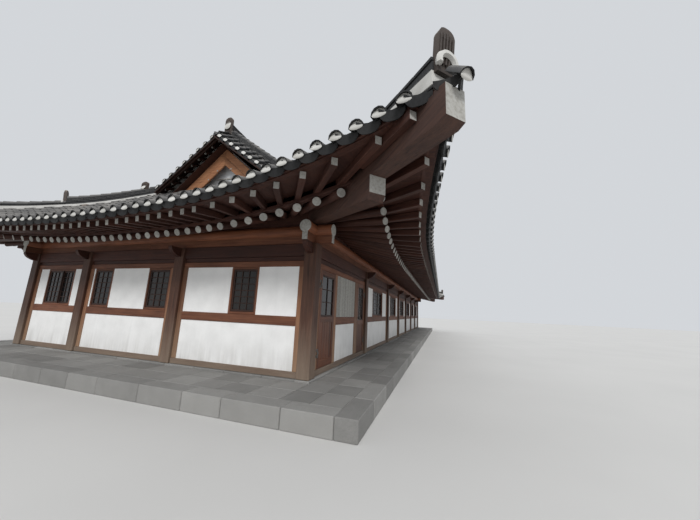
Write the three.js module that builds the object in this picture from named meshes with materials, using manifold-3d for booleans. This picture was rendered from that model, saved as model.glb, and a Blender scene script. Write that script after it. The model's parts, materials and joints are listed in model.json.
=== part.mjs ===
// A Korean timber house of seven bays with a curved hip-and-gable tiled roof.
// Millimetres, +Z up. The long sides lie along X, the front faces -Y, and the ground is z = 0.
import * as THREE from 'three';
import { mergeVertices } from 'three/addons/utils/BufferGeometryUtils.js';
import Module from 'manifold-3d';

const wasm = await Module();
wasm.setup();
const { Manifold, Mesh } = wasm;

// Clearance between pieces that touch.
const gap = 0.3;

// Column grid. Bays run from the left end along the front, and from the front corner along the ends.
const frontBays = [4200, 4200, 3600, 3600, 3600, 3600, 3600];
const endBays = [3600, 3450, 2450];
const total = (bays) => bays.reduce((sum, bay) => sum + bay, 0);
const halfLength = total(frontBays) / 2;
const halfDepth = total(endBays) / 2;

// Heights above the ground.
const platformTop = 300;
const stoneTop = 330;
const sillTop = 450;
const railBottom = sillTop + 885;
const railTop = sillTop + 1075;
const headBottom = sillTop + 2128;
const beamBottom = sillTop + 2350;
const columnTop = sillTop + 2620;
const purlinCentre = sillTop + 2910;

// Timber sections.
const columnSize = 280;
const jambWidth = 130;
const jambDepth = 140;
const sillDepth = 180;
const beamDepth = 200;
const purlinRadius = 130;
const purlinOverrun = 450;
const plasterThickness = 100;
const railCore = 112;
const platformReach = 1550;

// Roof plan: the corner tips stand tipReach past the column lines, and the eaves curve in between them,
// the ends' eaves further than the long ones.
const tipReach = 2840;
const longCurveIn = 520;
const endCurveIn = 990;
const curveLength = 5200;
const tipRise = 620;
const riseLength = 7500;
const gableInset = 4690;
const boardInset = 4930;
const gableWallInset = 5290;
const ridgeInset = halfDepth + tipReach;

// Roof section. The tile bed starts at eaveHeight with eaveSlope, steepens over bendRun and then runs
// straight up to ridgeHeight.
const eaveHeight = sillTop + 2875;
const ridgeHeight = sillTop + 7250;
const eaveSlope = 0.38;
const tileDepth = 140;
const bedRun = ridgeInset - endCurveIn;
const upperBedSlope = 0.75;
const steepening = upperBedSlope - eaveSlope;
const bendRun = 2 * (eaveHeight + upperBedSlope * bedRun - ridgeHeight) / steepening;
const flatterReach = 3000;

// Rafters. The distance e is measured inwards from the edge of the tiles.
const rafterPitch = 290;
const rafterRadius = 75;
const rafterSides = 6;
const rafterEnd = 850;
const rafterTop = sillTop + 2773;
const longRafterSlope = 0.2775;
const endRafterSlope = 0.42;
const rafterPast = 80;
const bendPast = 900;
const bendHeight = sillTop + 3571;
const upperSlope = 0.85;
const courseInner = 920;
const courseOuter = 200;
const courseTop = sillTop + 2975;
const courseDepth = 125;
const courseSlope = 0.14;
const hipHalfWidth = 130;
const fanReach = 4440;
const firstFan = 1720;
const fanCount = 7;
const fanSpread = 0.9;
const boardThickness = 20;
const fillHalfWidth = 50;
const fillEase = 8;

// Colours.
const timber = new THREE.MeshStandardMaterial({ color: 0x5a2f1c, roughness: 0.7 });
const darkTimber = new THREE.MeshStandardMaterial({ color: 0x3b2018, roughness: 0.75 });
const boards = new THREE.MeshStandardMaterial({ color: 0x9c5a30, roughness: 0.7 });
const plaster = new THREE.MeshStandardMaterial({ color: 0xe6e4df, roughness: 0.9 });
const tile = new THREE.MeshStandardMaterial({ color: 0x3f4344, roughness: 0.6 });
const stone = new THREE.MeshStandardMaterial({ color: 0x9a9892, roughness: 0.95 });

// A closed solid from a geometry, with its shared points merged.
function solidOf(geometry) {
  const bare = geometry.clone();
  bare.deleteAttribute('normal');
  bare.deleteAttribute('uv');
  const merged = mergeVertices(bare, 1e-3);
  return new Manifold(new Mesh({
    numProp: 3,
    vertProperties: Float32Array.from(merged.attributes.position.array),
    triVerts: Uint32Array.from(merged.index.array),
  }));
}

function join(solids) {
  return solids.reduce((sum, solid) => sum.add(solid));
}

function cut(solid, tools) {
  return tools.reduce((rest, tool) => rest.subtract(tool), solid);
}

// A box between two corners, given as [x0, x1], [y0, y1], [z0, z1].
function box([x0, x1], [y0, y1], [z0, z1]) {
  const geometry = new THREE.BoxGeometry(x1 - x0, y1 - y0, z1 - z0);
  return solidOf(geometry.translate((x0 + x1) / 2, (y0 + y1) / 2, (z0 + z1) / 2));
}

function outline(points) {
  return new THREE.Shape(points.map(([a, b]) => new THREE.Vector2(a, b)));
}

// An outline in plan, raised from z0 to z1.
function prism(points, z0, z1) {
  const geometry = new THREE.ExtrudeGeometry(outline(points), { depth: z1 - z0, bevelEnabled: false });
  return solidOf(geometry.translate(0, 0, z0));
}

// An outline in Y and Z, extruded along X from x0 to x1.
function crossPlate(points, x0, x1) {
  const geometry = new THREE.ExtrudeGeometry(outline(points), { depth: x1 - x0, bevelEnabled: false });
  const turn = new THREE.Matrix4().makeBasis(
    new THREE.Vector3(0, 1, 0),
    new THREE.Vector3(0, 0, 1),
    new THREE.Vector3(1, 0, 0),
  );
  return solidOf(geometry.applyMatrix4(turn).translate(x0, 0, 0));
}

// An outline of run and height, set upright along a direction in plan and centred on it.
function uprightPlate(points, thickness, originXY, angle) {
  const geometry = new THREE.ExtrudeGeometry(outline(points), { depth: thickness, bevelEnabled: false });
  geometry.translate(0, 0, -thickness / 2).rotateX(Math.PI / 2).rotateZ(angle);
  return solidOf(geometry.translate(originXY[0], originXY[1], 0));
}

// The four sides of the roof. On each, w runs along the eave from one tip and u inwards from the tip line.
const reachX = halfLength + tipReach;
const reachY = halfDepth + tipReach;
const longSide = { length: 2 * reachX, curveIn: longCurveIn, rafterSlope: longRafterSlope };
const endSide = { length: 2 * reachY, curveIn: endCurveIn, rafterSlope: endRafterSlope };
const sides = {
  front: { ...longSide, place: (w, u) => [w - reachX, u - reachY] },
  right: { ...endSide, place: (w, u) => [reachX - u, w - reachY] },
  back: { ...longSide, place: (w, u) => [reachX - w, reachY - u] },
  left: { ...endSide, place: (w, u) => [u - reachX, reachY - w] },
};

// Lines along the eave on which its curve is drawn, close together near the tips.
const eaveSteps = [0, 750, 1500, 2300, 3200, 4200, curveLength, 6300, riseLength];
function eaveLines(side) {
  return [...eaveSteps, ...eaveSteps.map((w) => side.length - w).reverse()];
}

// A share that falls from one at the tip to nothing at its reach, straight between the eave lines.
function shareAt(side, w, reach) {
  const near = Math.min(w, side.length - w);
  if (near >= riseLength) return 0;
  const next = Math.max(1, eaveSteps.findIndex((step) => step > near));
  const [from, to] = [eaveSteps[next - 1], eaveSteps[next]];
  const share = (step) => Math.max(0, 1 - step / reach) ** 2;
  return THREE.MathUtils.lerp(share(from), share(to), (near - from) / (to - from));
}

const eaveInset = (side, w) => side.curveIn * (1 - shareAt(side, w, curveLength));
const eaveRise = (side, w) => tipRise * shareAt(side, w, riseLength);

// Height of the tile bed at w and u. The tips' rise fades from the column lines up to the ridge,
// and the longer overhang of the long sides is flatter near its edge.
function bedHeight(side, w, u) {
  const run = u - endCurveIn;
  const e = u - eaveInset(side, w);
  const share = shareAt(side, w, curveLength);
  const fade = Math.min(1, (ridgeInset - u) / halfDepth);
  const flatter = (endCurveIn - side.curveIn) * (1 - share) * Math.max(0, 1 - e / flatterReach) ** 2;
  const edge = eaveSlope * (run + endCurveIn * share + flatter);
  const bent = steepening * Math.min(Math.max(0, run), bendRun) ** 2 / (2 * bendRun);
  const straight = steepening * Math.max(0, run - bendRun);
  return eaveHeight + edge + bent + straight + fade * eaveRise(side, w);
}

// Distance from the tiles' edge to the purlin's line in the middle of a side.
const overhang = (side) => tipReach - side.curveIn;

// Underside of the roof over the round rafters, e inwards from the tiles' edge. From the rafters'
// inner ends it runs to a bend, and more steeply from there.
function rafterBoard(side, e) {
  const inner = overhang(side) + rafterPast;
  const bend = overhang(side) + bendPast;
  const over = (distance) => rafterTop + side.rafterSlope * (distance - rafterEnd);
  if (e <= inner) return over(e);
  if (e <= bend) return THREE.MathUtils.mapLinear(e, inner, bend, over(inner), bendHeight);
  return bendHeight + upperSlope * (e - bend);
}

// Underside of the roof over the flying rafters' course.
const courseBoard = (e) => courseTop - courseSlope * (courseInner - e);

// A slab on lines of w and of distance inwards, bent in plan and height with the eave.
// The distances are measured from the tiles' edge, or from the tip line where fromTip is set.
function bentSlab(side, wLines, inwards, low, high, fromTip = false) {
  const columns = wLines.length - 1;
  const rows = inwards.length - 1;
  const geometry = new THREE.BoxGeometry(1, 1, 1, columns, rows, 1);
  const points = geometry.attributes.position;
  for (let i = 0; i < points.count; i++) {
    const w = wLines[Math.round((points.getX(i) + 0.5) * columns)];
    const distance = inwards[Math.round((points.getY(i) + 0.5) * rows)];
    const u = fromTip ? distance : eaveInset(side, w) + distance;
    const e = fromTip ? u - eaveInset(side, w) : distance;
    const z = points.getZ(i) > 0 ? high(e, u, w) : low(e, u, w);
    const [x, y] = side.place(w, u);
    points.setXYZ(i, x, y, z);
  }
  return solidOf(geometry);
}

// The plan area of one side between its hip lines, kept clear of them by a margin measured along the eave.
function betweenHips(side, margin) {
  const far = side.length - margin;
  const depth = fanReach;
  const plan = [[margin, 0], [far, 0], [far - depth, depth], [margin + depth, depth]];
  return prism(plan.map(([w, u]) => side.place(w, u)), 0, 2 * ridgeHeight);
}

// One slope of the roof: fill and tile bed. With grow above zero it is the same slope a little larger.
function roofSlope(side, isLong, grow = 0) {
  const step = 6;
  const top = isLong ? ridgeInset : gableWallInset;
  const last = top + 200 - side.curveIn;
  const over = overhang(side);
  const bends = [over, over + rafterPast, over + bendPast, gableInset - side.curveIn, 5200, 6200];
  const inwards = [-grow, courseInner, courseInner + step, 1600, ...bends.filter((e) => e < last), last];
  const low = (e, u, w) => {
    const board = e <= courseInner ? courseBoard(e) : rafterBoard(side, e);
    return board + eaveRise(side, w) - grow;
  };
  const high = (e, u, w) => bedHeight(side, w, u) + tileDepth + grow;
  const slab = bentSlab(side, eaveLines(side), inwards, low, high);
  const hip = (isLong ? gap / 2 : gap) - grow;
  const far = side.length - hip;
  const gable = gableInset - grow;
  const ridge = ridgeInset - gap / 2 + grow;
  const inner = gableWallInset - gap + grow;
  const long = [
    [hip - grow, -grow], [far + grow, -grow], [side.length - gable, gable - hip],
    [side.length - gable, ridge], [gable, ridge], [gable, gable - hip],
  ];
  const nook = gableWallInset + 10;
  const short = [
    [hip - grow, -grow], [far + grow, -grow], [far - gableInset, gableInset],
    [side.length - nook, gableInset + 5], [side.length - nook, inner], [nook, inner],
    [nook, gableInset + 5], [hip + gableInset, gableInset],
  ];
  const plan = (isLong ? long : short).map(([w, u]) => side.place(w, u));
  return slab.intersect(prism(plan, 0, 2 * ridgeHeight));
}

// The course of flying rafters: their common solid outside the ends of the round rafters.
function flyingEave(side) {
  const low = (e, u, w) => courseBoard(e) - courseDepth + eaveRise(side, w);
  const high = (e, u, w) => courseBoard(e) - gap + eaveRise(side, w);
  const course = bentSlab(side, eaveLines(side), [courseOuter, courseInner - gap], low, high);
  return course.intersect(betweenHips(side, (hipHalfWidth + gap) * Math.SQRT2));
}

// A round rafter between two points of its top edge, given as [w, u, z].
function rafter(side, outer, inner) {
  const ends = [outer, inner].map(([w, u, z]) => new THREE.Vector3(...side.place(w, u), z));
  const run = new THREE.Vector3().subVectors(ends[1], ends[0]);
  const flat = Math.cos(Math.PI / rafterSides);
  const geometry = new THREE.CylinderGeometry(rafterRadius, rafterRadius, run.length(), rafterSides);
  geometry.rotateY(Math.PI / rafterSides).rotateX(Math.PI / 2).translate(0, -rafterRadius * flat, 0);
  const up = new THREE.Vector3(0, 0, 1);
  const ahead = run.clone().normalize();
  const across = new THREE.Vector3().crossVectors(up, ahead).normalize();
  const raised = new THREE.Vector3().crossVectors(ahead, across);
  geometry.applyMatrix4(new THREE.Matrix4().makeBasis(across, raised, ahead));
  const middle = ends[0].add(ends[1]).multiplyScalar(0.5);
  return solidOf(geometry.translate(middle.x, middle.y, middle.z));
}

// The level rafters of one side in a row under their boards, as one corrugated strip that rises
// with the eave towards its ends.
function levelRafters(side) {
  const steepness = Math.hypot(1, side.rafterSlope);
  const ease = (w) => (eaveRise(side, w) > 0 ? 1.5 : 0);
  const rise = (w) => (eaveRise(side, w) - ease(w)) / steepness;
  const run = side.length - 2 * fanReach;
  const count = Math.round(run / rafterPitch);
  const flat = rafterRadius / 2;
  const depth = 2 * rafterRadius * Math.cos(Math.PI / rafterSides);
  const shoulder = flat + (flat * boardThickness) / (depth / 2);
  const section = [
    [-shoulder, -boardThickness], [-rafterRadius, -depth / 2], [-flat, -depth],
    [flat, -depth], [rafterRadius, -depth / 2], [shoulder, -boardThickness],
  ];
  const underside = Array.from({ length: count + 1 }, (_, i) => fanReach + (i * run) / count)
    .flatMap((middle) => section.map(([a, z]) => [middle + a, z + rise(middle + a)]));
  const first = fanReach - shoulder;
  const last = side.length - first;
  const kinks = eaveLines(side).filter((w) => w > first && w < last).reverse();
  const upper = [last, ...kinks, first].map((w) => [w, rise(w)]);
  const rowOutline = outline([...underside, ...upper]);
  const strip = new THREE.ExtrudeGeometry(rowOutline, { depth: 1, bevelEnabled: false });
  const points = strip.attributes.position;
  for (let i = 0; i < points.count; i++) {
    const w = points.getX(i);
    const e = points.getZ(i) > 0.5 ? rafterEnd : overhang(side) + rafterPast;
    const [x, y] = side.place(w, eaveInset(side, w) + e);
    points.setXYZ(i, x, y, rafterBoard(side, e) - gap + steepness * points.getY(i));
  }
  return solidOf(strip);
}

// Ends of a fanned rafter that starts at w on the eave and points to the fan's centre, clear of the boards.
function fanEnds(side, w, board) {
  const outer = eaveInset(side, w) + rafterEnd;
  const share = (tipReach + 20 - outer) / (fanReach - outer);
  const run = [fanReach - w, fanReach - outer];
  const offset = rafterRadius / 2 / Math.hypot(...run);
  const height = (t, s) => {
    const place = [w + t * run[0] - s * offset * run[1], outer + t * run[1] + s * offset * run[0]];
    return board(place[1] - eaveInset(side, place[0]), place[1], place[0]);
  };
  const chord = (t) => THREE.MathUtils.lerp(height(0, 0), height(share, 0), t / share);
  const checks = Array.from({ length: 21 }, (_, k) => (share * k) / 20);
  const drop = Math.max(...checks.flatMap((t) => [-1, 0, 1].map((s) => chord(t) - height(t, s))));
  return [0, share].map((t) => [w + t * run[0], outer + t * run[1], height(t, 0) - drop]);
}

// The rafters of one side: level in the middle and fanned at the corners, where boards and a fill carry them.
function rafterRow(side) {
  const board = (e, w) => rafterBoard(side, e) - gap + eaveRise(side, w);
  const pieces = [levelRafters(side)];
  const under = (ease) => (e, u, w) => board(e, w) - ease;
  for (const mirrored of [false, true]) {
    const at = (w) => (mirrored ? side.length - w : w);
    const lines = eaveSteps.slice(1).filter((w) => w < fanReach - 60).concat([fanReach]);
    const wLines = lines.map(at).sort((a, b) => a - b);
    const fill = [tipReach - fillHalfWidth, tipReach + fillHalfWidth];
    const seat = () => purlinCentre + purlinRadius + gap;
    pieces.push(bentSlab(side, wLines, fill, seat, under(fillEase), true));
    for (let i = 0; i < fanCount; i++) {
      const w = THREE.MathUtils.lerp(firstFan, fanReach, (i / fanCount) ** fanSpread);
      pieces.push(rafter(side, ...fanEnds(side, w, under(2)).map(([end, u, z]) => [at(end), u, z])));
    }
  }
  return join(pieces).intersect(betweenHips(side, (hipHalfWidth + gap) * Math.SQRT2));
}

// A corner of the roof: its place in plan, the direction outwards and the sides that meet there.
const corners = [
  { x: -1, y: -1, sides: ['front', 'left'] },
  { x: 1, y: -1, sides: ['front', 'right'] },
  { x: 1, y: 1, sides: ['back', 'right'] },
  { x: -1, y: 1, sides: ['back', 'left'] },
];

// Hip rafter with the flying hip rafter on its outer end, drawn as run and height from the corner column.
function hipRafter(corner, slopes) {
  const inner = -1300 * Math.SQRT2;
  const nose = 1780 * Math.SQRT2;
  const tip = 2760 * Math.SQRT2;
  const seatLength = 260;
  const seat = purlinCentre + purlinRadius + gap;
  const noseBottom = sillTop + 2745;
  const noseTop = sillTop + 3090;
  const tipBottom = sillTop + 3050;
  const tipTop = sillTop + 3440;
  const profile = [
    [inner, seat + 560], [0, seat], [seatLength, seat], [nose - 60, noseBottom], [nose, noseBottom + 90],
    [nose, noseTop], [tip - 90, tipBottom], [tip, tipBottom + 40], [tip, tipTop],
    [nose, tipTop + 60], [0, tipTop + 260], [inner, tipTop + 910],
  ];
  const angle = Math.atan2(corner.y, corner.x);
  const place = [corner.x * halfLength, corner.y * halfDepth];
  return cut(uprightPlate(profile, 2 * hipHalfWidth, place, angle), slopes);
}

// Ridges: heights of their tiers over the tiles, and how deep they are bedded under the tiles' tops.
const lowTier = 150;
const tipTier = 180;
const highTier = 330;
const ridgeBedding = 200;
const vergeReach = 450;
const vergeDepth = 120;
const vergeFoot = 330;
const hipRidgeHalfWidth = 150;
const mainRidgeHalfWidth = 160;
const endTileThickness = 90;

// Gables: the plates run on into the roof, and the bargeboards hang below its underside.
const intoRoof = 150;
const boardDrop = 550;
const gableWallThickness = 120;
const bargeboardThickness = 60;

// Corner ridge in two steps with two upright end tiles, along the hip line from the tip to the gable.
function hipRidge(corner, slopes) {
  const side = sides.front;
  const start = 200;
  const stepAt = 3040;
  const topEnd = gableInset + 80;
  const lines = [start, 700, 1500, stepAt, stepAt + 5, 3900, topEnd];
  const geometry = new THREE.BoxGeometry(1, 1, 1, lines.length - 1, 1, 1);
  const points = geometry.attributes.position;
  const diagonal = new THREE.Vector3(-corner.x, -corner.y, 0).normalize();
  const across = new THREE.Vector3(-diagonal.y, diagonal.x, 0);
  for (let i = 0; i < points.count; i++) {
    const t = lines[Math.round((points.getX(i) + 0.5) * (lines.length - 1))];
    const tiles = bedHeight(side, t, t) + tileDepth;
    const tier = t > stepAt ? highTier : lowTier + tipTier * Math.max(0, 1 - t / 1500) ** 2;
    const z = points.getZ(i) > 0 ? tiles + tier : tiles - ridgeBedding;
    const place = new THREE.Vector3(corner.x * reachX, corner.y * reachY, z);
    place.addScaledVector(diagonal, t * Math.SQRT2);
    place.addScaledVector(across, 2 * hipRidgeHalfWidth * points.getY(i));
    points.setXYZ(i, place.x, place.y, place.z);
  }
  const ends = [endTile(corner, start - 20, 115, 510), endTile(corner, stepAt - 20, 80, 560)];
  return cut(join([solidOf(geometry), ...ends]), slopes);
}

// Upright end tile across the corner ridge at t along the hip, with its half width and height.
function endTile(corner, t, half, height) {
  const tiles = bedHeight(sides.front, t, t) + tileDepth;
  const base = tiles - ridgeBedding;
  const top = tiles + height;
  const profile = [
    [-half, base], [half, base], [half * 0.8, top - 120], [half * 0.45, top],
    [-half * 0.45, top], [-half * 0.8, top - 120],
  ];
  const place = [corner.x * (reachX - t), corner.y * (reachY - t)];
  return uprightPlate(profile, endTileThickness, place, Math.atan2(corner.y, corner.x) + Math.PI / 2);
}

// Main ridge between the gables with the four descending ridges, the verges beside them and the end tiles.
function mainRidge(slopes) {
  const half = reachX - gableInset - 200;
  const bodyBottom = ridgeHeight + tileDepth - ridgeBedding;
  const bodyTop = ridgeHeight + tileDepth + 290;
  const endLift = 160;
  const liftFrom = 0.65;
  const lifted = [liftFrom, 0.82, 0.93, 1];
  const lines = [...lifted.map((share) => -share).reverse(), ...lifted].map((share) => share * half);
  const geometry = new THREE.BoxGeometry(1, 1, 1, lines.length - 1, 1, 1);
  const points = geometry.attributes.position;
  for (let i = 0; i < points.count; i++) {
    const x = lines[Math.round((points.getX(i) + 0.5) * (lines.length - 1))];
    const lift = endLift * Math.max(0, (Math.abs(x) / half - liftFrom) / (1 - liftFrom)) ** 2;
    const z = points.getZ(i) > 0 ? bodyTop + lift : bodyBottom;
    points.setXYZ(i, x, 2 * mainRidgeHalfWidth * points.getY(i), z);
  }
  const endTop = bodyTop + 430;
  const end = [
    [-150, ridgeHeight], [150, ridgeHeight], [150, endTop - 200],
    [60, endTop], [-60, endTop], [-150, endTop - 200],
  ];
  const thick = endTileThickness / 2;
  const ends = [-1, 1].map((s) => crossPlate(end, s * half - thick, s * half + thick));
  const places = [['front', false], ['front', true], ['back', false], ['back', true]];
  const descending = places.map(([name, far]) => descendingRidge(name, far));
  const verges = places.map(([name, far]) => verge(name, far));
  return cut(join([solidOf(geometry), ...ends, ...descending, ...verges]), slopes);
}

// A ridge down the edge of a long slope beside the gable, with the end tile at its foot.
function descendingRidge(name, far) {
  const side = sides[name];
  const near = [gableInset + 200, gableInset + 200 + 2 * hipRidgeHalfWidth];
  const wLines = far ? near.map((w) => side.length - w).reverse() : near;
  const uLines = [gableInset - 20, 5400, 6100, 6800, ridgeInset - 60];
  const low = (e, u, w) => bedHeight(side, w, u) + tileDepth - ridgeBedding;
  const high = (e, u, w) => bedHeight(side, w, u) + tileDepth + 380;
  const foot = [gableInset - 60, gableInset - 60 + endTileThickness];
  const footHigh = (e, u, w) => bedHeight(side, w, gableInset) + tileDepth + 640;
  const ridge = bentSlab(side, wLines, uLines, low, high, true);
  return ridge.add(bentSlab(side, wLines, foot, low, footHigh, true));
}

// The short rows of tiles across the edge of a gable: a strip that falls outwards from the descending ridge.
function verge(name, far) {
  const side = sides[name];
  const lines = [
    { w: gableInset - vergeReach, offset: -130 }, { w: gableInset, offset: 190 },
    { w: gableInset + 230, offset: 240 },
  ];
  const ordered = far ? lines.map(({ w, offset }) => ({ w: side.length - w, offset })).reverse() : lines;
  const offsetAt = (w) => ordered.find((line) => line.w === w).offset;
  const uLines = [gableInset + vergeFoot, 5500, 6100, 6800, ridgeInset + 20];
  const high = (e, u, w) => bedHeight(side, w, u) + offsetAt(w);
  const low = (e, u, w) => high(e, u, w) - vergeDepth;
  return bentSlab(side, ordered.map(({ w }) => w), uLines, low, high, true);
}

// Half of the gable's section just under the long slopes: distance from the middle and height.
function gableLine(drop) {
  const side = sides.front;
  const feet = [ridgeInset - gableInset + 60, 2000, 1300, 650];
  const at = (fromMiddle) => [fromMiddle, rafterBoard(side, ridgeInset - fromMiddle - side.curveIn) - drop];
  const right = feet.map(at);
  const left = right.map(([y, z]) => [-y, z]).reverse();
  return [...right, [0, at(0)[1]], ...left];
}

// A plate across the house from its outer face inwards, at the left or the right end.
function gablePlate(points, direction, inset, thickness) {
  const outer = direction * (reachX - inset);
  const inner = outer - direction * thickness;
  return crossPlate(points, Math.min(outer, inner), Math.max(outer, inner));
}

function gableWall(direction, slopes) {
  const rise = gableLine(-intoRoof);
  const footing = sillTop + 4420;
  const points = [[-rise[0][0], footing], [rise[0][0], footing], ...rise];
  return cut(gablePlate(points, direction, gableWallInset, gableWallThickness), slopes);
}

function bargeboards(direction, slopes) {
  const points = [...gableLine(-intoRoof), ...gableLine(boardDrop).reverse()];
  const hidden = box([-reachX, reachX], [-reachY, reachY], [0, sillTop + 5060]);
  return cut(gablePlate(points, direction, boardInset, bargeboardThickness), [hidden, ...slopes]);
}

// A wall frame is drawn with its run along a and its thickness along b, then turned onto its side.
// Columns, sill, head, tie beam and jambs; column places are measured from the wall's middle.
function columnPlaces(bays) {
  const places = [-total(bays) / 2];
  bays.forEach((bay) => places.push(places[places.length - 1] + bay));
  return places;
}

const halfColumn = columnSize / 2;
const centred = (size) => [-size / 2, size / 2];
const grown = ([low, high], by = gap) => [low - by, high + by];

// Bracket under the purlin's end of a column, drawn as distance inwards and height.
function bracket(place) {
  const reach = 420;
  const depth = 230;
  const thickness = 110;
  const base = columnTop - depth;
  const profile = [
    [-reach, columnTop - 60], [-reach + 60, base + 40], [-halfColumn, base], [halfColumn, base],
    [halfColumn, columnTop], [-reach, columnTop],
  ];
  return uprightPlate(profile, thickness, [place, 0], Math.PI / 2);
}

// An outline in a and z, as thick as depth and centred on the wall.
function wallPlate(points, depth) {
  const geometry = new THREE.ExtrudeGeometry(outline(points), { depth, bevelEnabled: false });
  return solidOf(geometry.translate(0, 0, -depth / 2).rotateX(Math.PI / 2));
}

// A plate with rectangular openings, each given as [a0, a1, z0, z1].
function framePlate([a0, a1, z0, z1], openings, depth) {
  const holes = openings.map(([h0, h1, low, high]) => box([h0, h1], centred(depth + 20), [low, high]));
  return cut(box([a0, a1], centred(depth), [z0, z1]), holes);
}

function wallFrame(bays, withCorners, openings) {
  const places = columnPlaces(bays);
  const end = places[places.length - 1];
  const kept = withCorners ? places : places.slice(1, -1);
  const reach = withCorners ? end : end - halfColumn - gap;
  const shaft = [stoneTop + gap, columnTop];
  const columns = kept.map((a) => box([a - halfColumn, a + halfColumn], centred(columnSize), shaft));
  const plate = framePlate([-reach, reach, sillTop - 5, beamBottom + 5], openings, jambDepth);
  const sill = box([-reach, reach], centred(sillDepth), [stoneTop + gap, sillTop]);
  const beam = box([-reach, reach], centred(beamDepth), [beamBottom, columnTop]);
  return join([plate, sill, beam, ...columns, ...kept.map(bracket)]);
}

// The clear openings of whole bays between their jambs.
function bayOpenings(bays, from = 0) {
  const places = columnPlaces(bays);
  const inset = halfColumn + jambWidth;
  return bays.map((bay, i) => [places[i] + inset, places[i + 1] - inset, sillTop, headBottom]).slice(from);
}

// A plaster sheet from a0 to a1, with notches from its top edge where the windows stand.
// With room above zero it is the sheet with clearance all round, which cuts its groove.
function plasterSheet([a0, a1], windows, room = 0) {
  const base = sillTop - 15 - room;
  const top = headBottom + 15 + room;
  const seat = (railBottom + railTop) / 2 + room;
  const side = gap - room;
  const notches = [...windows].reverse().flatMap(([w0, w1]) => [
    [w1 + side, top], [w1 + side, seat], [w0 - side, seat], [w0 - side, top],
  ]);
  const points = [[a0 - room, base], [a1 + room, base], [a1 + room, top], ...notches, [a0 - room, top]];
  return wallPlate(points, plasterThickness + 2 * room);
}

// A window frame with its pane, standing on the mid rail.
function windowUnit([w0, w1]) {
  const ring = 65;
  const [z0, z1] = [railTop - 5, headBottom - gap];
  const opening = [w0 + ring, w1 - ring, railTop + ring, z1 - ring];
  const pane = box(grown(opening.slice(0, 2), 5), centred(24), grown(opening.slice(2), 5));
  return framePlate([w0, w1, z0, z1], [opening], railCore).add(pane);
}

// The mid rail runs hidden through the columns and stands proud between the jambs.
function windowRow([a0, a1], windows, openings) {
  const core = box([a0, a1], centred(railCore), [railBottom, railTop]);
  const bays = openings.filter(([left]) => left > a0);
  const rail = [railBottom, railTop];
  const faces = bays.map(([left, right]) => box([left + gap, right - gap], centred(jambDepth), rail));
  return join([core, ...faces, ...windows.map(windowUnit)]);
}

// One wall: frame, plaster and window row, cut to fit each other.
function wall({ bays, withCorners, run, windows, openings, voids }) {
  const sheet = plasterSheet(run, windows);
  const row = cut(windowRow(run, windows, openings), [plasterSheet(run, windows, gap)]);
  const groove = box(grown(run), grown(centred(railCore)), grown([sillTop - 15, headBottom + 15]));
  const frame = cut(wallFrame(bays, withCorners, openings), [...voids, groove]);
  return { frame, sheet, row };
}

const turnDegrees = { front: 0, right: 90, back: 180, left: -90 };
function ontoSide(solid, name) {
  const standOff = name === 'front' || name === 'back' ? halfDepth : halfLength;
  return solid.translate([0, -standOff, 0]).rotate([0, 0, turnDegrees[name]]);
}

// Windows are written from the wall's left column as seen from outside, then centred on the wall.
const fromMiddle = (bays, spans) => spans.map(([w0, w1]) => [w0 - total(bays) / 2, w1 - total(bays) / 2]);
const mirrored = (spans) => spans.map(([w0, w1]) => [-w1, -w0]).reverse();

const bayWindow = 1900;
function bayWindows(bays, from) {
  const places = columnPlaces(bays);
  const middles = bays.map((bay, i) => places[i] + bay / 2).slice(from);
  return middles.map((middle) => [middle - bayWindow / 2, middle + bayWindow / 2]);
}

// The end walls' windows, from the front corner.
const endWindows = [[1270, 2010], [3600 + halfColumn + jambWidth + gap, 4650], [5970, 6720], [7600, 8840]];

// The entrance bay of the front: two doorways with a plastered panel between their posts.
const boardDoorway = [340, 1240];
const entranceDoorway = [3250, 4000];
const entrancePanel = [1390, 2970];
const fromLeft = (a) => a - halfLength;
const span = ([a0, a1]) => [fromLeft(a0), fromLeft(a1)];

// Clear openings of the entrance bay, with the panel's mid rail left in place.
function entranceOpenings() {
  const [p0, p1] = span(entrancePanel);
  return [
    [...span(boardDoorway), sillTop, headBottom],
    [p0, p1, sillTop, railBottom],
    [p0, p1, railTop, headBottom],
    [...span(entranceDoorway), sillTop, headBottom],
  ];
}

// A door leaf in its doorway, flush with the outside of the jambs.
const leafClearance = 6;
const leafThickness = 45;
const leafOuter = -halfDepth - jambDepth / 2;
function doorLeaf([a0, a1]) {
  const [x0, x1] = span([a0 + leafClearance, a1 - leafClearance]);
  const height = [sillTop + leafClearance, headBottom - leafClearance];
  return box([x0, x1], [leafOuter, leafOuter + leafThickness], height);
}

// Hinges: barrels on a vertical axis just outside the leaf's face, over the clearance beside the leaf.
const hingeRadius = 11;
const hingeStandOff = 12;
const barrelLength = 60;
const strapLength = 70;
const strapThickness = 8;
const hingeHeights = [sillTop + 300, headBottom - 360];
const boardHinge = { axis: fromLeft(boardDoorway[0] + leafClearance / 2), leafTowards: 1 };
const entranceHinge = { axis: fromLeft(entranceDoorway[1] - leafClearance / 2), leafTowards: -1 };

// A barrel with its strap, which lies on the leaf or on the jamb.
function hingePart(axis, towards, bottom) {
  const middle = bottom + barrelLength / 2;
  const barrel = new THREE.CylinderGeometry(hingeRadius, hingeRadius, barrelLength, 8).rotateX(Math.PI / 2);
  const ends = [axis, axis + towards * strapLength].sort((a, b) => a - b);
  const strap = box(ends, [leafOuter - strapThickness, leafOuter + 1], [bottom, bottom + barrelLength]);
  return strap.add(solidOf(barrel.translate(axis, leafOuter - hingeStandOff, middle)));
}

const leafHinges = ({ axis, leafTowards }) => hingeHeights.map((z) => hingePart(axis, leafTowards, z));

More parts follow.
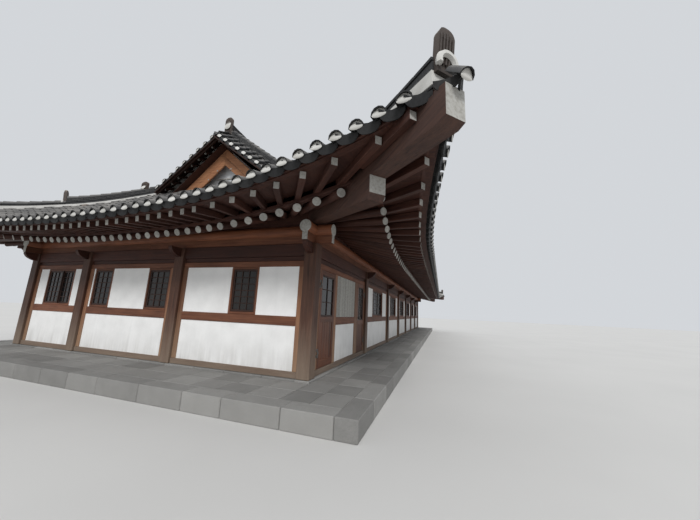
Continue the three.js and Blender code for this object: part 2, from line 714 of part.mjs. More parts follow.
// The jamb's barrels stand over and under the leaf's.
function jambHinges({ axis, leafTowards }) {
  const step = barrelLength + gap;
  return hingeHeights.flatMap((z) => [z - step, z + step]).map((z) => hingePart(axis, -leafTowards, z));
}

function boardDoor() {
  return join([doorLeaf(boardDoorway), ...leafHinges(boardHinge)]);
}

function entranceDoor() {
  const handleAt = fromLeft(entranceDoorway[0] + 95);
  const height = sillTop + 1050;
  const stem = new THREE.CylinderGeometry(14, 14, 62, 8).translate(handleAt, leafOuter - 26, height);
  const knob = new THREE.CylinderGeometry(32, 32, 26, 12).translate(handleAt, leafOuter - 60, height);
  return join([doorLeaf(entranceDoorway), solidOf(stem), solidOf(knob), ...leafHinges(entranceHinge)]);
}

// Round purlin with the bearing strip under it, lapped with its neighbours over the corner columns.
function purlin(name, isLong) {
  const half = (isLong ? halfLength : halfDepth) + purlinOverrun;
  const log = new THREE.CylinderGeometry(purlinRadius, purlinRadius, 2 * half, 10);
  const round = solidOf(log.rotateZ(Math.PI / 2).translate(0, 0, purlinCentre));
  const strip = box([-half, half], centred(120), [columnTop + gap, purlinCentre - 60]);
  const reach = isLong ? halfLength : halfDepth;
  const laps = [-1, 1].map((s) => {
    const zRange = isLong ? [purlinCentre - gap, purlinCentre + 400] : [columnTop - 50, purlinCentre + gap];
    return box(grown([s * reach - purlinRadius, s * reach + purlinRadius]), centred(400), zRange);
  });
  return ontoSide(cut(round.add(strip), laps), name);
}

// Terrace of dressed stone with a low course under the walls and columns.
function platform() {
  const reach = [halfLength + platformReach, halfDepth + platformReach];
  const terrace = box([-reach[0], reach[0]], [-reach[1], reach[1]], [0, platformTop]);
  const halfCourse = 160;
  const ring = (by, z0, z1) => box(centred(2 * (halfLength + by)), centred(2 * (halfDepth + by)), [z0, z1]);
  const hollow = ring(-halfCourse, platformTop - 30, stoneTop + 10);
  const course = ring(halfCourse, platformTop - 20, stoneTop).subtract(hollow);
  return terrace.add(course);
}

function roomFloor() {
  const reach = [halfLength - halfColumn - gap, halfDepth - halfColumn - gap];
  return box([-reach[0], reach[0]], [-reach[1], reach[1]], [stoneTop + gap, sillTop - 10]);
}

// The finished assembly.
const house = new THREE.Group();
function addPiece(name, solid, material) {
  const { vertProperties, triVerts } = solid.getMesh();
  const geometry = new THREE.BufferGeometry();
  geometry.setAttribute('position', new THREE.BufferAttribute(Float32Array.from(vertProperties), 3));
  geometry.setIndex(Array.from(triVerts));
  const mesh = new THREE.Mesh(geometry, material);
  mesh.name = name;
  house.add(mesh);
}

addPiece('platform', platform(), stone);
addPiece('room_floor', roomFloor(), boards);

const frontRun = [fromLeft(frontBays[0]), halfLength - halfColumn - 2 * gap];
const endRun = [-halfDepth + halfColumn - 20, halfDepth - halfColumn + 20];
const longRun = [-halfLength + halfColumn + 2 * gap, halfLength - halfColumn - 2 * gap];
const backBays = [...frontBays].reverse();
const leftBays = [...endBays].reverse();
const panelRun = span([entrancePanel[0] - 20, entrancePanel[1] + 20]);
const panelRoom = plasterSheet(panelRun, [], gap);
const walls = {
  front: {
    bays: frontBays, withCorners: false, run: frontRun, windows: bayWindows(frontBays, 1),
    openings: [...entranceOpenings(), ...bayOpenings(frontBays, 1)], voids: [panelRoom],
  },
  back: {
    bays: backBays, withCorners: false, run: longRun, windows: bayWindows(backBays, 0),
    openings: bayOpenings(backBays), voids: [],
  },
  left: {
    bays: leftBays, withCorners: true, run: endRun, windows: mirrored(fromMiddle(endBays, endWindows)),
    openings: bayOpenings(leftBays), voids: [],
  },
  right: {
    bays: endBays, withCorners: true, run: endRun, windows: fromMiddle(endBays, endWindows),
    openings: bayOpenings(endBays), voids: [],
  },
};

const hingesOn = { front: [...jambHinges(boardHinge), ...jambHinges(entranceHinge)] };
for (const [name, plan] of Object.entries(walls)) {
  const { frame, sheet, row } = wall(plan);
  addPiece(`${name}_frame`, join([ontoSide(frame, name), ...(hingesOn[name] ?? [])]), timber);
  addPiece(`${name}_plaster`, ontoSide(sheet, name), plaster);
  addPiece(`${name}_windows`, ontoSide(row, name), darkTimber);
}
addPiece('entrance_plaster', ontoSide(plasterSheet(panelRun, []), 'front'), plaster);
addPiece('board_door', boardDoor(), boards);
addPiece('entrance_door', entranceDoor(), darkTimber);

const isLongSide = (name) => name === 'front' || name === 'back';
const largerSlopes = {};
for (const [name, side] of Object.entries(sides)) {
  largerSlopes[name] = roofSlope(side, isLongSide(name), gap);
}
const allLarger = Object.values(largerSlopes);
for (const [name, side] of Object.entries(sides)) {
  addPiece(`${name}_purlin`, purlin(name, isLongSide(name)), timber);
  addPiece(`${name}_rafters`, rafterRow(side), timber);
  addPiece(`${name}_flying_eave`, flyingEave(side), darkTimber);
  const slope = roofSlope(side, isLongSide(name));
  const fitted = isLongSide(name) ? slope : cut(slope, [largerSlopes.front, largerSlopes.back]);
  addPiece(`${name}_roof`, fitted, tile);
}

corners.forEach((corner, i) => {
  addPiece(`hip_rafter_${i + 1}`, hipRafter(corner, allLarger), darkTimber);
  addPiece(`hip_ridge_${i + 1}`, hipRidge(corner, allLarger), tile);
});
addPiece('main_ridge', mainRidge(allLarger), tile);
[['left', -1], ['right', 1]].forEach(([name, direction]) => {
  addPiece(`${name}_gable_wall`, gableWall(direction, allLarger), plaster);
  addPiece(`${name}_bargeboards`, bargeboards(direction, allLarger), boards);
});

export default house;
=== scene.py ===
import json
import math

import bmesh
import bpy
import numpy as np
from mathutils import Matrix, Vector

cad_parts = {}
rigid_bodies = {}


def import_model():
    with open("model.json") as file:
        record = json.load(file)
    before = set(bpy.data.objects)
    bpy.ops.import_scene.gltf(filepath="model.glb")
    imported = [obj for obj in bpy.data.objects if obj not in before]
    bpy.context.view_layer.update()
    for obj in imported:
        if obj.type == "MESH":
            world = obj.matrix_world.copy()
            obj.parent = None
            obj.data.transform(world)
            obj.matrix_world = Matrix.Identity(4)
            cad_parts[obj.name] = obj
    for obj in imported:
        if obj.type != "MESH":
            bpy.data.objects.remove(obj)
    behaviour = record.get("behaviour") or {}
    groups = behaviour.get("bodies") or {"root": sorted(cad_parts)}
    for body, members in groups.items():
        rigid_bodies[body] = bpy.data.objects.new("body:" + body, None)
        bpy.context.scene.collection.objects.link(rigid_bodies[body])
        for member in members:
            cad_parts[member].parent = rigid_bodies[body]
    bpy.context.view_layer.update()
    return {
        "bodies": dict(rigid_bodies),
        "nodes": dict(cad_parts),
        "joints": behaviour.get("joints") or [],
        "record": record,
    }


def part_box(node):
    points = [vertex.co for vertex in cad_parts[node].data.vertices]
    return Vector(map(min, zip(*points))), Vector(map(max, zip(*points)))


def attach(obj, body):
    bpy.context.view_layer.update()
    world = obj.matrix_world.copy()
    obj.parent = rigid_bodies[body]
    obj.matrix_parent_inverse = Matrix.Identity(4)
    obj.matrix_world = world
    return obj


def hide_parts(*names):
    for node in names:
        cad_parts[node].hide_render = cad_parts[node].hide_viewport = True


# A Korean timber house with a curved hip-and-gable tiled roof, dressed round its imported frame.
# Metres, +Z up, the front faces -Y.
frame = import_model()
nodes = frame["nodes"]
chance = np.random.default_rng(11)
print("frame loaded:", len(nodes), "nodes")

# The roof's plan and section. w runs along an eave from its tip, u inwards from the tips' line.
roof = {
    "curveIn": {"front": 0.52, "back": 0.52, "left": 0.99, "right": 0.99},  # depth of the eaves' curves
    "curveLength": 5.2,      # length of the curve at each tip
    "tipRise": 0.62,
    "riseLength": 7.5,
    "eaveHeight": 3.325,
    "ridgeHeight": 7.7,
    "eaveSlope": 0.38,
    "upperSlope": 0.75,
    "flatterReach": 3.0,     # the long sides' slopes are flatter this far from their edge
    "gable": 4.69,           # from the tips' line to the edge of the gable
    "gableWall": 5.29,
    "rowPitch": 0.29,
}
reachX = round(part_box("front_roof")[1].x, 2)
reachY = round(-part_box("front_roof")[0].y, 2)
halfLength, halfDepth = 13.2, 4.75
sides = ("front", "right", "back", "left")
sideLength = {"front": 2 * reachX, "back": 2 * reachX, "left": 2 * reachY, "right": 2 * reachY}
deepest = roof["curveIn"]["left"]
bedRun = reachY - deepest
steepening = roof["upperSlope"] - roof["eaveSlope"]
bendRun = 2 * (roof["eaveHeight"] + roof["upperSlope"] * bedRun - roof["ridgeHeight"]) / steepening


def isLong(side):
    return side in ("front", "back")


def onPlan(side, w, u):
    if side == "front":
        return w - reachX, u - reachY
    if side == "right":
        return reachX - u, w - reachY
    if side == "back":
        return reachX - w, reachY - u
    return u - reachX, reachY - w


def tipShare(side, w, reach=roof["curveLength"]):
    near = np.minimum(w, sideLength[side] - w)
    return np.clip(1 - near / reach, 0, 1.2) ** 2


def eaveInset(side, w):
    return roof["curveIn"][side] * (1 - tipShare(side, w))


def eaveRise(side, w):
    return roof["tipRise"] * tipShare(side, w, roof["riseLength"])


def bedHeight(side, w, u):
    run = u - deepest
    share = tipShare(side, w)
    spread = np.maximum(0, 1 - (u - eaveInset(side, w)) / roof["flatterReach"]) ** 2
    flatter = (deepest - roof["curveIn"][side]) * (1 - share) * spread
    edge = roof["eaveSlope"] * (run + deepest * share + flatter)
    rise = eaveRise(side, w) * np.minimum(1, (reachY - u) / halfDepth)
    bent = steepening * np.clip(run, 0, bendRun) ** 2 / (2 * bendRun)
    return roof["eaveHeight"] + edge + bent + steepening * np.maximum(0, run - bendRun) + rise


def bedSlope(u):
    return roof["eaveSlope"] + steepening * np.clip((u - deepest) / bendRun, 0, 1)


# Undersides of the boards over the flying and the round rafters, e inwards from the tiles' edge.
boards = {
    "courseTop": 3.425, "courseInner": 0.92, "courseSlope": 0.14,
    "rafterEnd": 0.85, "rafterTop": 3.223, "past": 0.08,
    "bendPast": 0.9, "bendHeight": 4.021, "upperSlope": 0.85,
    "slope": {"front": 0.2775, "back": 0.2775, "left": 0.42, "right": 0.42},
}


def overhang(side):
    return reachY - halfDepth - roof["curveIn"][side]


def courseBoard(side, e):
    return boards["courseTop"] - boards["courseSlope"] * (boards["courseInner"] - e)


def rafterBoard(side, e):
    inner = overhang(side) + boards["past"]
    bend = overhang(side) + boards["bendPast"]

    def straight(at):
        return boards["rafterTop"] + boards["slope"][side] * (at - boards["rafterEnd"])

    middle = (boards["bendHeight"] - straight(inner)) / (bend - inner) * np.clip(e - inner, 0, bend - inner)
    return straight(np.minimum(e, inner)) + middle + boards["upperSlope"] * np.maximum(0, e - bend)


# Lengths measured up the slope, against the run in plan.
tableStep = 0.01
runTable = np.arange(-0.6, 8.2, tableStep)
stepSlopes = bedSlope(runTable[:-1] + tableStep / 2)
arcTable = np.concatenate([[0], np.cumsum(np.hypot(tableStep, tableStep * stepSlopes))])


def arcOf(u):
    return np.interp(u, runTable, arcTable)


def uOf(arc):
    return np.interp(arc, arcTable, runTable)


def pointsOf(x, y, z):
    return np.stack(np.broadcast_arrays(x, y, z), axis=-1)


# w counted from the eave's near tip or from its far one.
def fromTip(side, w, far):
    return sideLength[side] - w if far else w


# The last place at which a test still holds, found by halving.
def lastPlace(low, high, holds):
    for _ in range(40):
        middle = (low + high) / 2
        if holds(middle):
            low = middle
        else:
            high = middle
    return low


# Points on a slope by w, by length up the slope and by height off the bed, which is taken at wBed.
def layOnSlope(side, w, wBed, arc, height, limit=np.inf):
    u = np.minimum(uOf(arc), limit)
    slope = bedSlope(u)
    norm = np.hypot(1, slope)
    x, y = onPlan(side, w, u - height * slope / norm)
    return pointsOf(x, y, bedHeight(side, wBed, u) + height / norm)


# Modelling: a primitive is shaped in edit mode, then taken as a shape that can be copied.
def clearSelection():
    active = bpy.context.view_layer.objects.active
    if active and active.mode != "OBJECT":
        bpy.ops.object.mode_set(mode="OBJECT")
    bpy.ops.object.select_all(action="DESELECT")


def startShape(primitive, **settings):
    clearSelection()
    primitive(**settings)
    bpy.ops.object.transform_apply(location=True, rotation=True, scale=True)
    bpy.ops.object.mode_set(mode="EDIT")
    bpy.ops.mesh.select_all(action="SELECT")


def pick(kind, test):
    bpy.ops.mesh.select_mode(type=kind)
    bpy.ops.mesh.select_all(action="DESELECT")
    form = bmesh.from_edit_mesh(bpy.context.object.data)
    for item in form.verts if kind == "VERT" else form.faces:
        if test(item):
            item.select_set(True)
    form.select_flush_mode()
    bmesh.update_edit_mesh(bpy.context.object.data)


def paintPicked(index):
    form = bmesh.from_edit_mesh(bpy.context.object.data)
    for face in form.faces:
        if face.select:
            face.material_index = index
    bmesh.update_edit_mesh(bpy.context.object.data)


def move(x=0, y=0, z=0):
    bpy.ops.transform.translate(value=(x, y, z))


def resize(x, y, z, centre=(0, 0, 0)):
    bpy.ops.transform.resize(value=(x, y, z), center_override=centre)

def extrude(x=0, y=0, z=0):
    bpy.ops.mesh.extrude_region_move(TRANSFORM_OT_translate={"value": (x, y, z)})


def facing(axis, sign, limit=0.7):
    return lambda face: sign * face.normal[axis] > limit


def readPoints(mesh):
    points = np.empty(len(mesh.vertices) * 3)
    mesh.vertices.foreach_get("co", points)
    return points.reshape(-1, 3)


def readNumbers(items, attribute):
    numbers = np.empty(len(items), np.int32)
    items.foreach_get(attribute, numbers)
    return numbers


def takeShape():
    bpy.ops.mesh.select_all(action="SELECT")
    bpy.ops.mesh.remove_doubles(threshold=1e-5)
    bpy.ops.mesh.normals_make_consistent(inside=False)
    bpy.ops.object.mode_set(mode="OBJECT")
    item = bpy.context.object
    mesh = item.data
    shape = {
        "points": readPoints(mesh),
        "loops": readNumbers(mesh.loops, "vertex_index"),
        "starts": readNumbers(mesh.polygons, "loop_start"),
        "paint": readNumbers(mesh.polygons, "material_index"),
    }
    bpy.data.objects.remove(item)
    bpy.data.meshes.remove(mesh)
    return shape


# What the finishes read: places along the grain, and a number for each copy.
def writeAttributes(mesh, grain, tone):
    vectors = mesh.attributes.new("grain", "FLOAT_VECTOR", "POINT")
    vectors.data.foreach_set("vector", grain.astype(np.float32).ravel())
    numbers = mesh.attributes.new("tone", "FLOAT", "POINT")
    numbers.data.foreach_set("value", tone.astype(np.float32))
# Copies of modelled shapes, gathered in one mesh in which every copy has its own points.
class Pile:
    def __init__(self):
        self.points, self.loops, self.starts, self.paint = [], [], [], []
        self.grain, self.tone = [], []
        self.pointCount = self.loopCount = 0

    def add(self, shape, points, grain=None, tone=None, paint=None):
        size = len(shape["points"])
        points = np.asarray(points, float).reshape(-1, size, 3)
        copies = len(points)
        if grain is None:
            grain = points
        grain = np.broadcast_to(np.asarray(grain, float), points.shape)
        if tone is None:
            tone = chance.random(copies)
        tone = np.broadcast_to(np.asarray(tone, float), (copies,))
        rank = np.arange(copies)[:, None]
        self.points.append(points.reshape(-1, 3))
        self.grain.append(grain.reshape(-1, 3))
        self.tone.append(np.repeat(tone, size))
        self.loops.append((self.pointCount + shape["loops"] + size * rank).ravel())
        self.starts.append((self.loopCount + shape["starts"] + len(shape["loops"]) * rank).ravel())
        painted = shape["paint"] if paint is None else np.full(len(shape["paint"]), paint)
        self.paint.append(np.tile(painted, copies))
        self.pointCount += copies * size
        self.loopCount += copies * len(shape["loops"])

    def finish(self, name, finishes, slot, body="root", replaces=(), sharp=35):
        points = np.concatenate(self.points)
        mesh = bpy.data.meshes.new(name)
        mesh.vertices.add(len(points))
        mesh.vertices.foreach_set("co", points.astype(np.float32).ravel())
        loops = np.concatenate(self.loops).astype(np.int32)
        mesh.loops.add(len(loops))
        mesh.loops.foreach_set("vertex_index", loops)
        starts = np.concatenate(self.starts).astype(np.int32)
        mesh.polygons.add(len(starts))
        mesh.polygons.foreach_set("loop_start", starts)
        mesh.polygons.foreach_set("material_index", np.concatenate(self.paint).astype(np.int32))
        mesh.polygons.foreach_set("use_smooth", np.ones(len(starts), bool))
        mesh.update(calc_edges=True)
        writeAttributes(mesh, np.concatenate(self.grain), np.concatenate(self.tone))
        mesh.validate()
        mesh.set_sharp_from_angle(angle=math.radians(sharp))
        for finish in finishes:
            mesh.materials.append(finish)
        piece = bpy.data.objects.new(name, mesh)
        bpy.context.scene.collection.objects.link(piece)
        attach(piece, body)
        if replaces:
            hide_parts(*replaces)
        mesh.calc_loop_triangles()
        print("piece", name, len(mesh.loop_triangles), "triangles")
        return piece

# A bar with worn edges, two units long, wide and deep. Its first end has a finish of its own.
def modelBar(body, end):
    startShape(bpy.ops.mesh.primitive_cube_add, size=2)
    bpy.ops.mesh.bevel(offset=0.1, segments=1, affect="EDGES")
    bpy.ops.mesh.select_all(action="SELECT")
    paintPicked(body)
    pick("FACE", lambda face: face.calc_center_median().x < -0.96)
    paintPicked(end)
    return takeShape()


# A slab of cells with whole-number points, from which sheets and bands are laid.
def modelSlab(across, along):
    startShape(bpy.ops.mesh.primitive_grid_add, x_subdivisions=across, y_subdivisions=along, size=2)
    extrude(z=-1)
    slab = takeShape()
    x, y, z = slab["points"].T
    slab["points"] = np.stack([np.round((x + 1) / 2 * across), np.round((y + 1) / 2 * along), 1 + z], axis=1)
    return slab


barShape = modelBar(0, 0)
paintedBar = modelBar(0, 1)
slabs = {}


# A slab with the columns i, j and k of its points.
def slabOf(across, along=1):
    if (across, along) not in slabs:
        slabs[across, along] = modelSlab(across, along)
    return slabs[across, along], *slabs[across, along]["points"].astype(int).T


def stretched(shape, half, bevel):
    points = shape["points"]
    inner = (1 - np.abs(points)) * 10     # 1 where the bevel of a tenth begins
    worn = np.minimum(bevel, 0.4 * np.min(half))
    return np.sign(points) * (np.asarray(half) - inner * worn)


# The length from one point to another, and the directions ahead, across and upwards.
def axesOf(start, end, up=(0, 0, 1)):
    length = np.linalg.norm(end - start)
    ahead = (end - start) / length
    across = np.cross(up, ahead)
    across /= np.linalg.norm(across)
    return length, np.array([ahead, across, np.cross(ahead, across)])


# A place of its own in the grain's pattern.
def grainShift():
    return chance.random(3) * 40


# A timber from one point to another, with its grain along it.
def addBar(pile, start, end, width, depth, up=(0, 0, 1), bevel=0.006, tone=None, paint=None, shape=barShape):
    start, end = np.asarray(start, float), np.asarray(end, float)
    length, axes = axesOf(start, end, up)
    local = stretched(shape, (length / 2, width / 2, depth / 2), bevel)
    pile.add(shape, (start + end) / 2 + local @ axes, local + grainShift(), tone, paint)


# The same between two corners; along is the axis of its grain.
def addBlock(pile, low, high, along, **settings):
    low, high = np.minimum(low, high), np.maximum(low, high)
    middle, size = (low + high) / 2, high - low
    step = np.zeros(3)
    step[along] = size[along] / 2
    up = (0, 1, 0) if along == 2 else (0, 0, 1)
    addBar(pile, middle - step, middle + step, *np.delete(size, along), up=up, **settings)


logRim = 0.06     # bevel of a log's outer end, for a log of radius 1


# A round timber from its outer end, with that end's face in a finish of its own.
def modelLog(facets):
    startShape(
        bpy.ops.mesh.primitive_cylinder_add, vertices=facets, radius=1, depth=1,
        rotation=(math.pi / 2, 0, 0), location=(0, 0.5, 0),
    )
    pick("FACE", facing(1, -1, 0.9))
    bpy.ops.mesh.bevel(offset=logRim, segments=1, affect="EDGES")
    pick("FACE", lambda face: face.calc_center_median().y < logRim + 0.02 and face.normal.y < -0.5)
    paintPicked(1)
    return takeShape()


def addLog(pile, shape, start, end, radius, tone=None, rim=0.008, paint=None, up=(0, 0, 1)):
    start, end = np.asarray(start, float), np.asarray(end, float)
    length, axes = axesOf(start, end, up)
    x, y, z = shape["points"].T
    run = np.where(y > 0.5, length, y / logRim * rim)
    local = np.stack([run, -x * radius, z * radius], axis=1)
    pile.add(shape, start + local @ axes, local + grainShift(), tone, paint)


print("basic shapes modelled")
# Shaders: a socket takes part in plain expressions, and each operator adds its Math node.
class Sock:
    def __init__(self, owner, out):
        self.owner, self.out = owner, out

    def math(self, operation, *values):
        return self.owner.node("ShaderNodeMath", {"operation": operation}, dict(enumerate(values)))

    def __add__(self, other):
        return self.math("ADD", self, other)

    def __sub__(self, other):
        return self.math("SUBTRACT", self, other)

    def __rsub__(self, other):
        return self.math("SUBTRACT", other, self)

    def __mul__(self, other):
        return self.math("MULTIPLY", self, other)

    __radd__ = __add__
    __rmul__ = __mul__


class Finish:
    def __init__(self, name, **surface):
        self.material = bpy.data.materials.new(name)
        self.material.use_nodes = True
        self.tree = self.material.node_tree
        self.tree.nodes.clear()
        self.shader = self.tree.nodes.new("ShaderNodeBsdfPrincipled")
        output = self.tree.nodes.new("ShaderNodeOutputMaterial")
        self.tree.links.new(self.shader.outputs[0], output.inputs["Surface"])
        for key, value in surface.items():
            self.shader.inputs[key].default_value = value

    def node(self, kind, settings, inputs, output=0):
        made = self.tree.nodes.new(kind)
        for key, value in settings.items():
            if key == "stops":
                self.setStops(made.color_ramp, value)
            else:
                setattr(made, key, value)
        for key, value in inputs.items():
            self.feed(made.inputs[key], value)
        return Sock(self, made.outputs[output])

    def setStops(self, ramp, stops):
        while len(ramp.elements) < len(stops):
            ramp.elements.new(1)
        for element, (place, shade) in zip(ramp.elements, stops):
            element.position = place
            element.color = (*shade, 1) if isinstance(shade, tuple) else (shade, shade, shade, 1)

    def feed(self, socket, value):
        if isinstance(value, Sock):
            self.tree.links.new(value.out, socket)
        else:
            socket.default_value = value

    def set(self, **inputs):
        for key, value in inputs.items():
            self.feed(self.shader.inputs[key.replace("_", " ")], value)
        return self.material

    def place(self):
        return self.node("ShaderNodeTexCoord", {}, {}, "Object")

    def attribute(self, name, output="Fac"):
        return self.node("ShaderNodeAttribute", {"attribute_name": name}, {}, output)

    def scaled(self, vector, x, y, z):
        return self.node("ShaderNodeVectorMath", {"operation": "MULTIPLY"}, {0: vector, 1: (x, y, z)})

    def part(self, vector, axis):
        return self.node("ShaderNodeSeparateXYZ", {}, {0: vector}, axis)

    def noise(self, vector, scale, detail=4, roughness=0.6):
        inputs = {"Vector": vector, "Scale": scale, "Detail": detail, "Roughness": roughness}
        return self.node("ShaderNodeTexNoise", {}, inputs)

    def ramp(self, value, *stops):
        return self.node("ShaderNodeValToRGB", {"stops": stops}, {0: value})

    def range(self, value, low, high, toLow=0, toHigh=1):
        inputs = {0: value, 1: low, 2: high, 3: toLow, 4: toHigh}
        return self.node("ShaderNodeMapRange", {"clamp": True}, inputs)

    def mix(self, mask, first, second):
        first = (*first, 1) if isinstance(first, tuple) else first
        second = (*second, 1) if isinstance(second, tuple) else second
        return self.node("ShaderNodeMix", {"data_type": "RGBA"}, {0: mask, 6: first, 7: second}, 2)

    def darkened(self, shade, amount):
        gray = self.node("ShaderNodeCombineXYZ", {}, {0: amount, 1: amount, 2: amount})
        settings = {"data_type": "RGBA", "blend_type": "MULTIPLY"}
        return self.node("ShaderNodeMix", settings, {0: 1.0, 6: shade, 7: gray}, 2)

    def bump(self, height, strength, distance):
        inputs = {"Strength": strength, "Distance": distance, "Height": height}
        return self.node("ShaderNodeBump", {}, inputs)


def woodFinish(name, dark, light, roughness=0.6, worn=None, paleBelow=0.0, coat=0.0):
    made = Finish(name, **{"Specular IOR Level": 0.35, "Coat Weight": coat, "Coat Roughness": 0.35})
    grain = made.attribute("grain", "Vector")
    tone = made.attribute("tone")
    streaks = made.noise(made.scaled(grain, 1.4, 26, 26), 1.0, 6, 0.65)
    fibres = made.noise(made.scaled(grain, 6, 160, 160), 1.0, 3, 0.7)
    clouds = made.noise(grain, 1.7, 3, 0.5)
    blend = made.range(streaks * 0.75 + clouds * 0.35, 0.35, 0.78)
    shade = made.mix(blend, dark, light)
    shade = made.darkened(shade, 0.7 + tone * 0.45)
    checks = made.range(made.noise(made.scaled(grain, 0.9, 34, 34), 1.0, 2, 0.5), 0.66, 0.72)
    shade = made.darkened(shade, 1 - checks * 0.55)
    # Paler towards the foot, in ragged patches along the fibres, in the colour given as worn.
    if worn:
        height = made.part(made.place(), "Z")
        ragged = height + made.noise(made.scaled(grain, 0.8, 9, 9), 1.0, 4, 0.6) * 1.2
        paleShare = made.range(ragged, paleBelow + 1.3, paleBelow - 0.1) * (0.35 + fibres * 0.9)
        shade = made.mix(paleShare, shade, worn)
    relief = streaks * 0.5 + fibres * 0.35 - checks * 0.8
    return made.set(
        Base_Color=shade,
        Roughness=made.range(fibres, 0.3, 0.7, roughness - 0.08, roughness + 0.12),
        Normal=made.bump(relief, 0.35, 0.004),
    )


def tileFinish():
    made = Finish("firedTile", **{"Specular IOR Level": 0.4})
    place = made.place()
    tone = made.attribute("tone")
    clouds = made.noise(place, 2.2, 5, 0.6)
    spots = made.noise(place, 38, 4, 0.65)
    shade = made.ramp(
        tone * 0.6 + clouds * 0.4, (0.15, (0.024, 0.025, 0.029)), (0.5, (0.058, 0.059, 0.061)),
        (0.85, (0.105, 0.102, 0.098)),
    )
    shade = made.mix(made.range(tone, 0.985, 1.0) * 0.8, shade, (0.145, 0.105, 0.085))
    upwards = made.part(made.node("ShaderNodeNewGeometry", {}, {}, "Normal"), "Z")
    # Dust on the upward faces, and with it painted light: the tops are made paler as if lit by the sky.
    dustAndSkyLight = made.range(upwards, 0.1, 0.95) * made.range(clouds * 0.5 + spots * 0.5, 0.35, 0.7)
    shade = made.mix(dustAndSkyLight * 0.85, shade, (0.40, 0.375, 0.34))
    # Painted shade: faces that turn sideways or downwards are darkened, the undersides to a fifth.
    shade = made.darkened(shade, made.range(upwards, -0.2, 0.5, 0.2, 1.0))
    growth = made.range(made.noise(place, 7.5, 6, 0.75), 0.62, 0.7) * made.range(upwards, 0.0, 0.6)
    shade = made.mix(growth * 0.35, shade, (0.17, 0.16, 0.10))
    return made.set(
        Base_Color=shade,
        Roughness=made.range(spots, 0.3, 0.75, 0.52, 0.85),
        Normal=made.bump(spots * 0.6 + clouds * 0.4, 0.4, 0.004),
    )


def plasterFinish(name, shade, stain):
    made = Finish(name, **{"Specular IOR Level": 0.25})
    place = made.place()
    trowel = made.noise(place, 3.0, 5, 0.55)
    fine = made.noise(place, 85, 3, 0.6)
    streaks = made.noise(made.scaled(place, 7, 7, 0.7), 1.0, 5, 0.6)
    base = made.mix(made.range(trowel, 0.35, 0.7), shade, stain)
    low = made.range(made.part(place, "Z"), 0.95, 0.46) * made.range(streaks, 0.35, 0.65)
    base = made.mix(low * 0.45, base, (0.45, 0.43, 0.40))
    base = made.mix(made.range(streaks, 0.55, 0.75) * 0.12, base, (0.50, 0.50, 0.48))
    return made.set(
        Base_Color=base,
        Roughness=made.range(fine, 0.3, 0.7, 0.8, 0.95),
        Normal=made.bump(fine * 0.4 + trowel * 0.6, 0.3, 0.004),
    )


def paintFinish():
    made = Finish("endPaint", **{"Specular IOR Level": 0.3})
    grain = made.attribute("grain", "Vector")
    tone = made.attribute("tone")
    rings = made.noise(grain, 24, 5, 0.65)
    shade = made.ramp(
        rings, (0.25, (0.24, 0.228, 0.20)), (0.5, (0.40, 0.39, 0.36)), (0.75, (0.48, 0.48, 0.455)),
    )
    shade = made.darkened(shade, 0.78 + tone * 0.32)
    return made.set(Base_Color=shade, Roughness=0.75 + rings * 0.1, Normal=made.bump(rings, 0.3, 0.003))


def graniteFinish():
    made = Finish("granite", **{"Specular IOR Level": 0.35})
    place = made.place()
    tone = made.attribute("tone")
    speck = made.noise(place, 160, 3, 0.8)
    clouds = made.noise(place, 2.5, 5, 0.6)
    shade = made.ramp(
        speck, (0.32, (0.16, 0.155, 0.15)), (0.45, (0.40, 0.39, 0.37)), (0.6, (0.50, 0.49, 0.465)),
        (0.72, (0.60, 0.585, 0.555)),
    )
    shade = made.darkened(shade, 0.34 + tone * 0.22 + clouds * 0.22)
    return made.set(
        Base_Color=shade, Roughness=0.78 + speck * 0.15, Normal=made.bump(speck * 0.5 + clouds, 0.4, 0.004),
    )


def glassFinish():
    made = Finish("windowGlass", **{"Specular IOR Level": 0.35})
    place = made.place()
    # Painted shade: the pane is near black, in broad lighter and darker patches, standing in for the unlit
    # room behind it.
    depth = made.noise(place, 1.1, 3, 0.5)
    shade = made.mix(made.range(depth, 0.35, 0.65), (0.007, 0.007, 0.008), (0.020, 0.017, 0.015))
    return made.set(Base_Color=shade, Roughness=made.range(depth, 0.3, 0.7, 0.12, 0.3))


def metalFinish():
    made = Finish("wornSteel", Metallic=1.0)
    place = made.place()
    rub = made.noise(place, 60, 4, 0.6)
    shade = made.mix(made.range(rub, 0.4, 0.7), (0.20, 0.19, 0.18), (0.10, 0.085, 0.07))
    return made.set(Base_Color=shade, Roughness=made.range(rub, 0.3, 0.7, 0.4, 0.6))


tileClay = tileFinish()
whitePlaster = plasterFinish("wallPlaster", (0.84, 0.835, 0.82), (0.76, 0.755, 0.74))
limePlaster = plasterFinish("limePlaster", (0.62, 0.61, 0.58), (0.42, 0.41, 0.38))
# Bluish plaster of the gables, made paler than the walls' plaster: painted light that lifts it out of the
# verges' shade.
litGablePlaster = plasterFinish("litGablePlaster", (0.88, 0.91, 0.93), (0.76, 0.79, 0.82))
redTimber = woodFinish("redTimber", (0.075, 0.026, 0.014), (0.22, 0.085, 0.042))
columnTimber = woodFinish(
    "columnTimber", (0.035, 0.015, 0.010), (0.11, 0.050, 0.030), worn=(0.26, 0.20, 0.15), paleBelow=0.8,
)
darkTimber = woodFinish("darkTimber", (0.020, 0.009, 0.006), (0.055, 0.022, 0.014), 0.55)
eaveTimber = woodFinish("eaveTimber", (0.030, 0.011, 0.009), (0.095, 0.036, 0.022))
hipTimber = woodFinish("hipTimber", (0.034, 0.018, 0.015), (0.105, 0.050, 0.034))
beamTimber = woodFinish("beamTimber", (0.026, 0.008, 0.005), (0.080, 0.024, 0.013))
jambTimber = woodFinish(
    "jambTimber", (0.12, 0.048, 0.026), (0.30, 0.145, 0.075), worn=(0.33, 0.22, 0.14), paleBelow=0.9,
)
